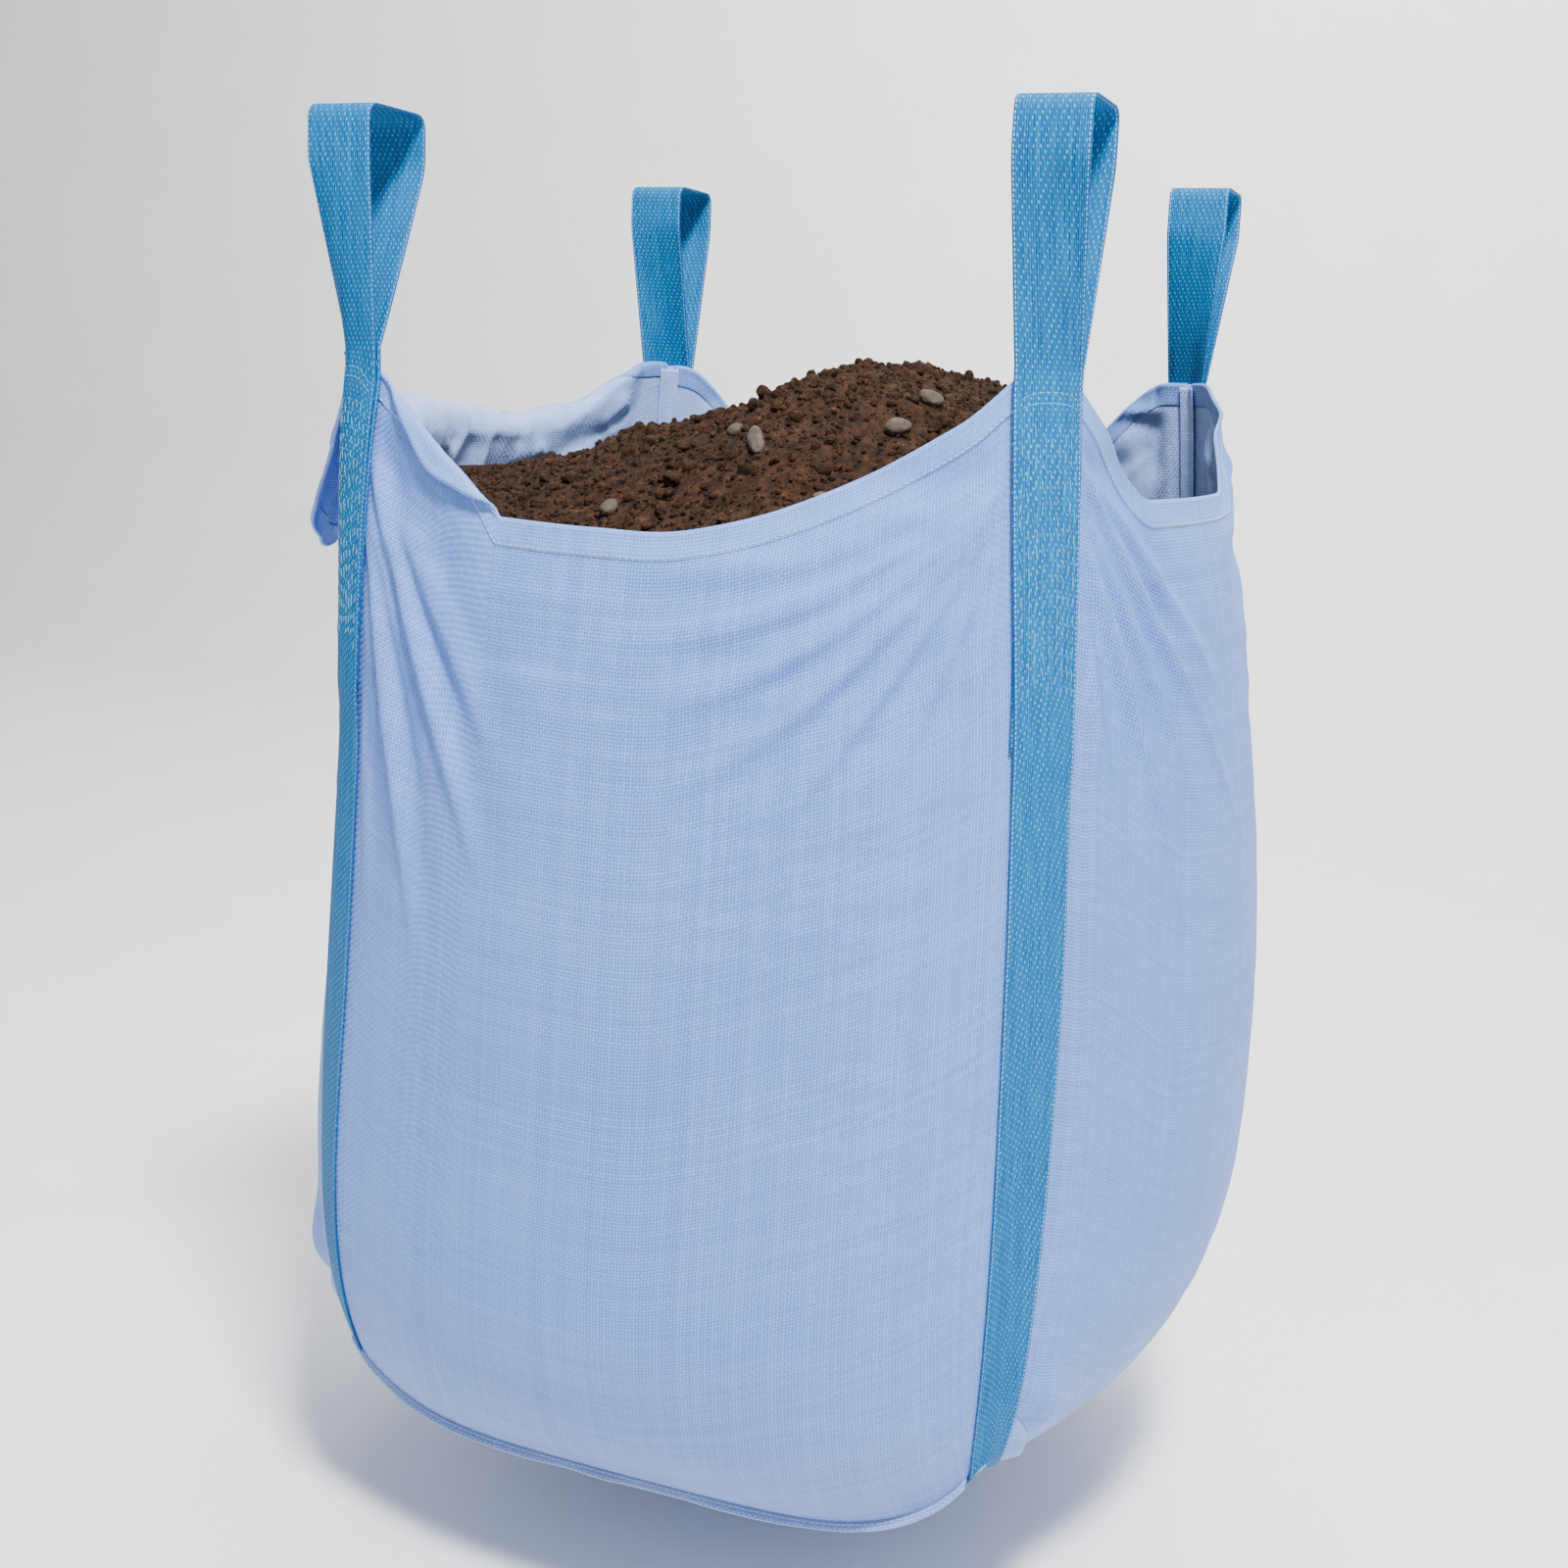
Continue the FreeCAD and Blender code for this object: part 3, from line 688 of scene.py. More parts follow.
def webbing_material():
    """Twill webbing: pale floats in steep diagonal rows, and a darker selvage."""
    nodes = Nodes("blue_webbing")
    across, along = nodes.split(nodes.flat())[:2]
    rank = nodes.math("DIVIDE", along, FLOAT_LONG)
    file = nodes.math("MULTIPLY_ADD", nodes.math("FLOOR", rank), 0.33,
                      nodes.math("DIVIDE", across, FLOAT_WIDE))
    aside = nodes.math("MULTIPLY", nodes.math("SUBTRACT", nodes.math("FRACT", file), 0.5), 6.0)
    ahead = nodes.math("MULTIPLY", nodes.math("SUBTRACT", nodes.math("FRACT", rank), 0.5), 2.6)
    away = nodes.math("SQRT", nodes.math("ADD", nodes.math("MULTIPLY", aside, aside),
                                         nodes.math("MULTIPLY", ahead, ahead)))
    floats = nodes.ranged(away, 1.10, 0.35, 0.80, interpolation_type="SMOOTHSTEP")
    rib = nodes.math("PINGPONG", nodes.math("DIVIDE", across, RIB), 0.5)
    streak = nodes.noise(nodes.stretched(nodes.flat(), (500, 14, 1)), 1.0, 3, 0.6)
    tone = nodes.math("MULTIPLY_ADD", rib, 0.5, nodes.math("MULTIPLY", streak, 0.9))
    colour = nodes.ramp(tone, [(0.25, (0.000, 0.035, 0.14)), (0.55, (0.000, 0.105, 0.30)),
                               (0.85, (0.004, 0.200, 0.44))])
    each = nodes.math("MULTIPLY_ADD", nodes.math("FLOOR", rank), 7.3, nodes.math("FLOOR", file))
    bright = nodes.math("MULTIPLY_ADD", nodes.random(each), 0.65, 0.35)
    bright = nodes.math("MULTIPLY", bright, floats)
    colour = nodes.blend(bright, colour, (0.14, 0.50, 0.86))
    reach = nodes.math("ABSOLUTE", across)
    band = nodes.math("GREATER_THAN", reach, 0.0300)
    colour = nodes.blend(nodes.math("MULTIPLY", band, 0.60), colour, (0.001, 0.070, 0.28))
    line = nodes.math("LESS_THAN", nodes.math("ABSOLUTE", nodes.math("SUBTRACT", reach, 0.0315)),
                      0.0005)
    dotted = nodes.math("GREATER_THAN", nodes.math("FRACT", rank), 0.35)
    line = nodes.math("MULTIPLY", nodes.math("MULTIPLY", line, dotted), 0.75)
    colour = nodes.blend(line, colour, (0.30, 0.60, 0.90))
    normal = nodes.bump(nodes.math("ADD", rib, floats), 0.0007)
    return nodes.finish(colour, 0.60, normal, 0.12)


def thread_material(name, dull, pale):
    nodes = Nodes(name)
    fibre = nodes.noise(nodes.place(), 900.0, 2, 0.5)
    colour = nodes.ramp(fibre, [(0.2, dull), (0.8, pale)])
    return nodes.finish(colour, 0.6, nodes.bump(fibre, 0.0002), 0.35, 0.2)


def soil_material():
    nodes = Nodes("loam")
    place = nodes.place()
    lumps = nodes.noise(place, 70.0, 6, 0.7)
    grains = nodes.noise(place, 520.0, 4, 0.7)
    tone = nodes.math("MULTIPLY_ADD", grains, 0.45, nodes.math("MULTIPLY", lumps, 0.55))
    colour = nodes.ramp(tone, [(0.34, (0.004, 0.002, 0.001)), (0.47, (0.020, 0.0080, 0.0034)),
                               (0.58, (0.060, 0.026, 0.0110)), (0.72, (0.17, 0.090, 0.045))])
    normal = nodes.bump(lumps, 0.006)
    normal = nodes.bump(grains, 0.0020, under=normal)
    return nodes.finish(colour, 0.92, normal, 0.2)


def stone_material():
    nodes = Nodes("field_stone")
    place = nodes.place()
    mottle = nodes.noise(place, 90.0, 5, 0.65)
    colour = nodes.ramp(mottle, [(0.3, (0.024, 0.016, 0.011)), (0.55, (0.060, 0.043, 0.032)),
                                 (0.8, (0.13, 0.10, 0.078))])
    return nodes.finish(colour, 0.75, nodes.bump(mottle, 0.002), 0.4)


def floor_material():
    nodes = Nodes("pale_floor")
    speckle = nodes.noise(nodes.place(), 3.0, 3, 0.5)
    colour = nodes.ramp(speckle, [(0.3, (0.90, 0.90, 0.90)), (0.7, (0.93, 0.93, 0.93))])
    return nodes.finish(colour, 0.8, nodes.bump(speckle, 0.0005), 0.2)


OUTER_CLOTH = cloth_material("outer_cloth", (0.20, 0.37, 0.90), (0.055, 0.135, 0.42), 0.52,
                             0.0006, 0.0016, 0.5)
INNER_CLOTH = cloth_material("inner_cloth", (0.36, 0.50, 0.90), (0.20, 0.31, 0.64), 0.24,
                             0.0004, 0.0030, 0.3)
HEM_CLOTH = cloth_material("hem_cloth", (0.22, 0.39, 0.89), (0.08, 0.17, 0.46), 0.5,
                           0.0004, 0.0018, 0.4)
WEBBING = webbing_material()
THREAD = thread_material("white_thread", (0.24, 0.36, 0.60), (0.52, 0.66, 0.86))
STRAP_THREAD = thread_material("strap_thread", (0.07, 0.27, 0.44), (0.26, 0.52, 0.70))
SOIL = soil_material()
STONE = stone_material()


def on_bag(item, slot_name, *nodes):
    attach(item, "bag")
    if nodes:
        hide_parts(*nodes)
    return item


# ------------------------------------------------------------------ panels
u_grid = np.concatenate([rim_grids["right"], base_grid()[1:-1], rim_grids["left"][::-1]])
for name, grid in (("front_panel", rim_grids["front"]), ("back_panel", sides["back"]),
                   ("u_panel", u_grid)):
    item = shell(name + "_cloth", grid, grown(grid, -CLOTH), [OUTER_CLOTH, INNER_CLOTH])
    on_bag(item, "panel_cloth", name)


# ------------------------------------------------------------------ hems
HEM_WIDTH = 0.028
HEM_PLY = 0.0006
HEM_THREAD, STRAP_THREAD_SIZE, SEAM_THREAD = 0.00055, 0.00032, 0.0006     # radii


def below_rim(grid, distances):
    """Points and normals on the cloth at distances down from its first row."""
    down, _ = lengths_along(grid)
    normals = outward_normals(grid)
    points = np.empty((len(distances), grid.shape[1], 3))
    facing = np.empty_like(points)
    for column in range(grid.shape[1]):
        for axis in range(3):
            points[:, column, axis] = np.interp(distances, down[:, column],
                                                grid[:, column, axis])
            facing[:, column, axis] = np.interp(distances, down[:, column],
                                                normals[:, column, axis])
    return points, unit(facing)


def trimmed(grid, margin):
    """The columns further than a margin from both ends of the rim."""
    _, across = lengths_along(grid[:1])
    from_first = across[0] - across[0, 0]
    inside = (from_first > margin) & (from_first[-1] - from_first > margin)
    return grid[:, inside]


def hem_surfaces(side):
    grid = trimmed(rim_grids[side], 0.004)
    distances = np.linspace(HEM_WIDTH, 0.0015, 9)
    points, normals = below_rim(grid, distances)
    rise = unit(points[-1] - points[-2])
    pucker = 0.0004 * value_noise(points * np.array([1, 1, 0.15]), 0.011, 71)[..., None]
    edge = (0.0014 * np.exp(-(distances / 0.004) ** 2))[:, None, None]
    ply = mix(0.0001, HEM_PLY, smooth(HEM_WIDTH - distances, 0, 0.006))[:, None, None]
    outside = points + normals * (0.0001 + edge + np.abs(pucker))
    inside = (points - normals * (CLOTH + 0.0001 + edge))[::-1]
    crest_low = points[-1] + rise * 0.0020 - normals[-1] * CLOTH / 2
    near = np.concatenate([outside, crest_low[None], inside])
    out = np.concatenate([outside + normals * ply, (crest_low + rise * HEM_PLY)[None],
                          inside - normals[::-1] * ply[::-1]])
    return out, near, points, normals


STITCH_SIDES = 6


def stitch_mesh(name, starts, ends, normals, radius, material=THREAD):
    """Rounded threads that dip into the cloth at both ends, all in one mesh."""
    shares = np.array([0.0, 0.12, 0.5, 0.88, 1.0])
    sizes = np.array([0.35, 0.9, 1.0, 0.9, 0.35])
    dips = np.array([-0.9, 0.25, 0.6, 0.25, -0.9])
    count = len(starts)
    along = unit(ends - starts)
    side = unit(np.cross(along, normals))
    up = np.cross(side, along)
    angles = np.arange(STITCH_SIDES) * 2 * np.pi / STITCH_SIDES
    centres = (starts[:, None] + (ends - starts)[:, None] * shares[None, :, None]
               + up[:, None] * (dips * radius)[None, :, None])
    circle = (side[:, None, None] * np.cos(angles)[None, None, :, None]
              + up[:, None, None] * np.sin(angles)[None, None, :, None])
    rings = centres[:, :, None] + circle * (sizes * radius)[None, :, None, None]
    points = rings.reshape(-1, 3)
    each = len(shares) * STITCH_SIDES
    index = np.arange(each).reshape(len(shares), STITCH_SIDES)
    after = np.roll(index, -1, axis=1)
    tube = np.stack([index[:-1], after[:-1], after[1:], index[1:]], axis=-1).reshape(-1, 4)
    caps = []
    for ring, order in ((index[0], 1), (index[-1], -1)):
        ring = ring[::order]
        caps += [[ring[0], ring[3], ring[2], ring[1]], [ring[0], ring[5], ring[4], ring[3]]]
    faces = np.concatenate([tube, np.array(caps)])
    faces = (faces[None] + (np.arange(count) * each)[:, None, None]).reshape(-1, 4)
    return new_object(name, points, faces, [material])


def dashes(line, normals, length, gap, seed):
    """Start, end and normal of each dash along a line of points."""
    run = run_along(line)
    random = np.random.default_rng(seed)
    starts = np.arange(gap, run[-1] - length, length + gap)
    starts = starts + random.uniform(-0.15, 0.15, len(starts)) * gap

    def at(places, values):
        return np.stack([np.interp(places, run, values[:, axis]) for axis in range(3)], -1)
    return at(starts, line), at(starts + length, line), unit(at(starts, normals))


def joined(groups):
    return [np.concatenate(parts) for parts in zip(*groups)]


hem_lines = []
for side in SIDES:
    out, near, points, normals = hem_surfaces(side)
    on_bag(shell(f"hem_{side}_band", out, near, [HEM_CLOTH]), "hem_cloth", f"hem_{side}")
    lift = 0.0003 + HEM_PLY
    hem_lines.append(dashes(points[1] + normals[1] * lift, normals[1], 0.0046, 0.0018, 81))
on_bag(stitch_mesh("hem_chain_stitch", *joined(hem_lines), HEM_THREAD), "thread",
       "hem_stitching")


# ------------------------------------------------------------------ webbing
HALF_WEB = WEB_WIDTH / 2
EDGE_ROUND = WEB_THICK / 2
WIDTHS = np.linspace(-1, 1, 15) * (HALF_WEB - EDGE_ROUND)
TAIL_END = 0.296          # of the corner line
CLEAR = 0.0003            # between layers
ON_TAIL = WEB_THICK + 2 * CLEAR
# how far the straps lie towards the front or back panel, at the mouth and at the base
STRAP_SHIFTS = {(-1, -1): (0.013, 0.032), (1, -1): (0.0, 0.0), (-1, 1): (0.0, 0.008),
                (1, 1): (0.0, 0.0)}
# sideways shift of each tail under its strap, at the mouth and at its cut end
TAIL_SKEWS = {"front_right": (-0.007, 0.003), "front_left": (0.004, -0.004),
              "back_right": (0.003, 0.005), "back_left": (-0.005, -0.002)}


def cloth_by_corner(sign, down, width):
    """Outer cloth at a distance along it from a corner line: above 0 on the front or back."""
    front = {-1: "front", 1: "back"}[sign[1]]
    flank = {-1: "left", 1: "right"}[sign[0]]
    down, width = np.broadcast_arrays(down, width)
    points = np.empty(down.shape + (3,))
    for side, end, chosen in ((front, sign[0], width >= 0), (flank, sign[1], width < 0)):
        edge = panel_place(side, down, end * np.ones_like(down))
        near = panel_place(side, down, end * 0.98 * np.ones_like(down))
        reach = np.linalg.norm(edge - near, axis=-1) / 0.02
        place = panel_place(side, down, end * (1 - np.abs(width) / reach))
        points[chosen] = place[chosen]
    return points


def softened(grid, times):
    """Each point drawn to the middle of its neighbours across the width."""
    for _ in range(times):
        inner = (grid[:, :-2] + grid[:, 2:]) / 2
        grid = grid.copy()
        grid[:, 1:-1] = inner
        grid[:, 0] = 2 * grid[:, 1] - grid[:, 2]
        grid[:, -1] = 2 * grid[:, -2] - grid[:, -3]
    return grid


def diagonal_normals(sign, grid):
    normals = grid_normals(grid)
    diagonal = np.array([sign[0], sign[1], 0]) / math.sqrt(2)
    return normals * np.sign(normals @ diagonal)[..., None]


def along_corner(sign, down, widths, lift):
    """Webbing's middle layer along a corner, and its normals: one row for each level."""
    level = smooth(down, 0.4, 1)[:, None]
    widths = widths + mix(*STRAP_SHIFTS[tuple(sign)], level)
    cloth = cloth_by_corner(sign, down[:, None], widths)
    flat = mix(softened(cloth, 3), softened(cloth, 9), smooth(down, 0.6, 0.9)[:, None, None])
    normals = diagonal_normals(sign, flat)
    proud = np.max(np.sum((cloth - flat) * normals, axis=-1), axis=1)
    tip = cloth_by_corner(sign, down[:, None], np.zeros((len(down), 1)))
    ahead = np.sum((tip - flat) * normals, axis=-1)
    near = np.argmin(np.linalg.norm(tip - flat, axis=-1), axis=1)
    proud = np.maximum(proud, ahead[np.arange(len(down)), near])
    return flat + normals * (lift + proud)[:, None, None], normals


def strap_lift(down):
    over_tail = 1 - smooth(down, TAIL_END + 0.008, TAIL_END + 0.055)
    return CLEAR + WEB_THICK / 2 + ON_TAIL * over_tail


# under the base: how far from the axis, as a share, and how far down
TUCKS = [(0.985, 0.009), (0.955, 0.021), (0.915, 0.037), (0.875, 0.050)]


def strap_rows(sign):
    """From the end tucked under the base up to the mouth."""
    down = np.linspace(1, 0, 190)
    rows, _ = along_corner(sign, down, WIDTHS[None], strap_lift(down))
    under = [rows[0] * np.array([spread, spread, 1]) - np.array([0, 0, drop])
             for spread, drop in TUCKS[::-1]]
    return np.concatenate([np.array(under), rows])


def tail_rows(sign, skew):
    down = np.linspace(0, TAIL_END, 56)
    shift = mix(skew[0], skew[1], down / TAIL_END)[:, None]
    lift = np.full(len(down), CLEAR + WEB_THICK / 2)
    return along_corner(sign, down, WIDTHS[None] + shift, lift)[0]


FORK_ROUND = 0.007        # the fork's edges, which the webbing bends over
KNEE_Z = -0.050           # below this the legs run together


def rounded(points, step, reach):
    """A smooth line through straight runs: resampled, then averaged over a reach."""
    run = run_along(points)
    count = int(run[-1] / step) + 1
    line = np.stack([np.interp(np.linspace(0, run[-1], count), run, points[:, axis])
                     for axis in range(points.shape[1])], axis=-1)
    span = max(1, int(reach / step))
    padded = np.concatenate([np.repeat(line[:1], span, 0), line, np.repeat(line[-1:], span, 0)])
    window = np.ones(2 * span + 1) / (2 * span + 1)
    middle = np.stack([np.convolve(padded[:, axis], window, "valid")
                       for axis in range(points.shape[1])], axis=-1)
    hold = smooth(np.minimum(np.arange(count), np.arange(count)[::-1]) * step, 0, 2 * reach)
    return mix(line, middle, hold[:, None])


def leg_share(z):
    """0 at a loop's feet and 1 at the fork's lower edge; the legs are straight between."""
    return np.clip((z - LEG_FOOT) / (KNEE_Z - LEG_FOOT), 0, 1)


def loop_rows(sign, skew_top):
    """Up the outer leg, over the fork and down the inner leg, between the two mouths."""
    sx, sy = sign
    diagonal = np.array([sx, sy, 0]) / math.sqrt(2)
    mouth = corner_place(sign, np.float64(0.0))
    mouth[2] = LEG_FOOT
    outer = mouth + diagonal * (CLEAR + WEB_THICK / 2 + ON_TAIL)
    inner = mouth + diagonal * (CLEAR + WEB_THICK / 2)
    half, top = FORK_HALF + WEB_THICK / 2, WEB_THICK / 2
    seat = np.array([sx * HALF_X, sy * HALF_Y, 0])
    turns = np.linspace(0, np.pi / 2, 7)
    arch = [(half, KNEE_Z)] + [(half - FORK_ROUND * (1 - math.cos(t)),
                                top - FORK_ROUND * (1 - math.sin(t))) for t in turns]
    arch = arch + [(-y, z) for y, z in arch[::-1]]
    path = [outer] + [seat + np.array([0, sy * y, z]) for y, z in arch] + [inner]
    line = rounded(np.array(path), 0.0035, 0.012)
    height = leg_share(line[:, 2])
    foot, top_way = np.array([-sx, sy, 0]) / math.sqrt(2), np.array([-sx, 0, 0])
    wide = mix(foot, top_way, height[:, None])
    shift = skew_top * (1 - height) * (np.arange(len(line)) > len(line) / 2)
    return line[:, None] + wide[:, None] * (WIDTHS[None, :, None] + shift[:, None, None])


def between(first, last, count):
    shares = np.linspace(0, 1, count + 2)[1:-1, None, None]
    return first * (1 - shares) + last * shares


def settled(loop, first, last):
    """The loop's feet take the bent shape of the strap and the tail that they run into."""
    middle = len(loop) // 2
    share = (1 - leg_share(loop[:, :, 2]))[..., None]
    shifts = [end - foot for end, foot in ((first, loop[0]), (last, loop[-1]))]
    shifts = [shift * np.array([1, 1, 0]) for shift in shifts]
    shift = np.concatenate([np.repeat(shifts[0][None], middle, 0),
                            np.repeat(shifts[1][None], len(loop) - middle, 0)])
    return loop + shift * share


def web_rows(corner):
    sign, skew = CORNERS[corner], TAIL_SKEWS[corner]
    strap, tail = strap_rows(sign), tail_rows(sign, skew)
    loop = settled(loop_rows(sign, skew[0]), strap[-1], tail[0])
    return np.concatenate([strap, between(strap[-1], loop[0], 4), loop,
                           between(loop[-1], tail[0], 4), tail])


def ribbon(name, rows, thickness, materials):
    """A closed strip with rounded edges around rows of its middle layer."""
    normals = grid_normals(rows)
    half = thickness / 2
    sides_out = [unit(rows[:, 0] - rows[:, 1]), unit(rows[:, -1] - rows[:, -2])]
    turns = np.array([0.25, 0.5, 0.75]) * np.pi
    top, low = rows + normals * half, rows - normals * half

    def edge(index, out, order):
        return [rows[:, index] + normals[:, index] * half * math.cos(t) * order
                + out * half * math.sin(t) for t in turns]
    ring = ([top[:, j] for j in range(rows.shape[1])] + edge(-1, sides_out[1], 1)
            + [low[:, j] for j in range(rows.shape[1])[::-1]] + edge(0, sides_out[0], -1))
    ring = np.stack(ring, axis=1)
    width = np.linalg.norm(rows[:, 1] - rows[:, 0], axis=-1).mean()
    across = (np.arange(rows.shape[1]) - (rows.shape[1] - 1) / 2) * width
    edge_u = across[-1] + half
    around = np.concatenate([across, [edge_u] * 3, across[::-1], [-edge_u] * 3])
    run = run_along(rows[:, rows.shape[1] // 2])
    uv = np.stack(np.broadcast_arrays(around[None], run[:, None]), axis=-1)
    count, around_count = ring.shape[:2]
    index = np.arange(count * around_count).reshape(count, around_count)
    after = np.roll(index, -1, axis=1)
    faces = np.stack([index[:-1], after[:-1], after[1:], index[1:]], axis=-1).reshape(-1, 4)
    item = new_object(name, ring.reshape(-1, 3), faces, materials, uv.reshape(-1, 2))
    add_caps(item, [index[0][::-1], index[-1]])
    return item


def add_caps(item, rings):
    work = bmesh.new()
    work.from_mesh(item.data)
    work.verts.ensure_lookup_table()
    for ring in rings:
        work.faces.new([work.verts[int(i)] for i in ring])
    bmesh.ops.recalc_face_normals(work, faces=work.faces)
    work.to_mesh(item.data)
    work.free()


for corner in CORNERS:
    item = ribbon(f"webbing_{corner}", web_rows(corner), WEB_THICK, [WEBBING])
    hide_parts(f"strap_{corner}", f"strap_tail_{corner}", f"lift_loop_{corner}")
    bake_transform(item)


STITCH_COLUMNS = np.linspace(-0.0270, 0.0270, 9)
STITCH_TOP, STITCH_LOW = 0.024, 0.262       # of the corner line
MOUTH_LINES = ((0.0, 0.007), (0.0095, 0.005))     # where each starts, and its sag
LINE_HALF = 0.031
STITCH_LEAN = 0.0009      # how far a stitch slants to each side


def on_strap(sign, down, width):
    """Points and normals on the outside of a strap; down rises and width goes with it."""
    rows, normals = along_corner(sign, down, WIDTHS[None], strap_lift(down) + WEB_THICK / 2)
    column = np.clip((width - WIDTHS[0]) / (WIDTHS[1] - WIDTHS[0]), 0, len(WIDTHS) - 1.001)
    first, part = column.astype(int), (column % 1)[:, None]
    pick = np.arange(len(down))
    return (mix(rows[pick, first], rows[pick, first + 1], part),
            unit(mix(normals[pick, first], normals[pick, first + 1], part)))


def strap_column(sign, column, random):
    """One column of long uneven stitches down a strap."""
    count = 40
    lengths = random.uniform(0.005, 0.0135, count)
    ends = np.cumsum(lengths + random.uniform(0.0025, 0.0090, count)) / CORNER_HEIGHT
    ends = ends + STITCH_TOP + random.uniform(0, 0.008)
    ends, lengths = ends[ends < STITCH_LOW], lengths[ends < STITCH_LOW]
    lean = STITCH_LEAN * random.choice([-1.0, 1.0], len(ends))
    lean = lean * random.uniform(0.4, 1.2, len(ends))
    wander = column + 0.0010 * np.sin(ends * 30 + random.uniform(0, 6))
    first, _ = on_strap(sign, ends - lengths / CORNER_HEIGHT, wander - lean)
    last, normals = on_strap(sign, ends, wander + lean)
    return first, last, normals


def strap_lines(corner, seed):
    """Columns of thread down a strap, and two lines across it just below the mouth."""
    sign = CORNERS[corner]
    random = np.random.default_rng(seed)
    groups = [strap_column(sign, column, random) for column in STITCH_COLUMNS]
    widths = np.linspace(-LINE_HALF, LINE_HALF, 40)
    for start, dip in MOUTH_LINES:
        line = on_strap(sign, start + dip * (widths / LINE_HALF) ** 2, widths)
        groups.append(dashes(*line, 0.0060, 0.0010, seed + 1))
    return joined(groups)


for number, corner in enumerate(CORNERS):
    item = stitch_mesh(f"strap_thread_{corner}", *strap_lines(corner, 90 + number),
                       STRAP_THREAD_SIZE, STRAP_THREAD)
    on_bag(item, "thread", f"strap_stitching_{corner}")


# ------------------------------------------------------------------ bottom seams and ears
SEAM_WIDTH = 0.008


def seam_strip(side):
    """The sewn edge where a panel meets the base: two plies that stand out and pucker."""
    sy = SIDES[side][1]
    edge = trimmed(sides[side][-1:], 0.030)[0]
    lean = unit(np.array([0, sy * 0.55, -1.0]))
    shares = np.linspace(0, 1, 7)[:, None, None]
    pucker = value_noise(edge * np.array([1, 0, 0]), 0.009, 101)[None, :, None]
    slow = value_noise(edge * np.array([1, 0, 0]), 0.045, 102)[None, :, None]
    out = unit(np.array([0, sy, 0.55]))
    rows = edge[None] + lean * SEAM_WIDTH * shares * (1 + 0.12 * slow)
    return rows + out * (0.0003 * pucker + 0.0012 * slow) * shares ** 1.5


for side in ("front", "back"):
    rows = seam_strip(side)
    item = ribbon(f"bottom_seam_{side}_edge", rows.transpose(1, 0, 2), 0.0030, [HEM_CLOTH])
    on_bag(item, "hem_cloth", f"bottom_seam_{side}")
    normals = grid_normals(rows)
    normals = normals * np.sign(normals[3, len(normals[3]) // 2, 1] * SIDES[side][1])
    line = dashes(rows[2] + normals[2] * 0.0016, normals[2], 0.0050, 0.0022, 111)
    lower = dashes(rows[5] + normals[5] * 0.0016, normals[5], 0.0030, 0.0030, 112)
    on_bag(stitch_mesh(f"bottom_seam_{side}_thread", *joined([line, lower]), SEAM_THREAD),
           "thread")


EAR_REACH, EAR_HEIGHT = 0.064, 0.048


def ear_rows(sign):
    """A gathered end of the seam allowance, which lies on the flank beside the strap."""
    flank = {-1: "left", 1: "right"}[sign[0]]
    grid = sides[flank] if sign[1] > 0 else sides[flank][:, ::-1]
    normals = outward_normals(grid)
    rows = []
    for share in np.linspace(0, 1, 16):
        row = []
        for part in np.linspace(0, 1, 11):
            away = (HALF_WEB + 0.001 + EAR_REACH * share) / PANEL_WIDTH * (COLUMNS - 1)
            height = EAR_HEIGHT * (1 - 0.75 * share ** 1.5) * (1 - part)
            level = (1 - height / CORNER_HEIGHT) * (ROWS - 1)
            place = int(level), COLUMNS - 1 - int(away)
            puff = 0.0016 + 0.010 * math.sin(math.pi * part) * math.sin(math.pi * share) ** 0.7
            row.append(grid[place] + normals[place] * puff)
        rows.append(row)
    rows = np.array(rows)
    for _ in range(2):
        rows[1:-1] = (rows[:-2] + rows[1:-1] + rows[2:]) / 3
        rows[:, 1:-1] = (rows[:, :-2] + rows[:, 1:-1] + rows[:, 2:]) / 3
    return rows


CORNER_SEAM_DOWN = 0.30   # of the corner line, from the rim to below the soil
CORNER_SEAM_HALF, CORNER_SEAM_IN = 0.013, 0.0050


def corner_seam_rows(sign):
    """The panels' sewn allowance inside a corner."""
    down = np.linspace(0.002, CORNER_SEAM_DOWN, 70)[:, None]
    rows = cloth_by_corner(sign, down, np.linspace(-1, 1, 9)[None] * CORNER_SEAM_HALF)
    peak = BACK_PEAK * (1.0 if sign[1] > 0 else FRONT_SHARE) - 0.002
    rows[..., 2] += peak * (1 - smooth(down, 0, 0.12))
    return rows - unit(np.array([sign[0], sign[1], 0])) * CORNER_SEAM_IN


for corner, sign in CORNERS.items():
    item = ribbon(f"corner_seam_{corner}", corner_seam_rows(sign), 0.0010, [INNER_CLOTH])
    on_bag(item, "hem_cloth")
    item = ribbon(f"seam_ear_{corner}", ear_rows(sign), 0.0020, [HEM_CLOTH])
    on_bag(item, "hem_cloth", f"corner_ear_{corner}")


# ------------------------------------------------------------------ soil
SOIL_SIDE = 230           # points along each side of the heap
# depths of the soil's edge below the seats
SOIL_LEVELS = {"front": 0.412, "back": 0.405, "left": 0.356, "right": 0.428}
SOIL_CORNERS = {"front_left": 0.392, "front_right": 0.410,
                "back_left": 0.368, "back_right": 0.452}
HEAP_PEAK = (0.09, 0.05, -0.222)
HEAP_LEFT, HEAP_RIGHT = (0.34, 0.040), 2.9   # slope and rounding; curve
HEAP_FRONT, HEAP_BACK = 0.80, 1.27           # curves
HEAP_SOFT = 0.012         # how softly the heap's foot runs out
SOIL_INSET = 0.021        # how far inside the cloth the soil lies, below its edge
WALL_RINGS, BASE_RINGS = 22, 14


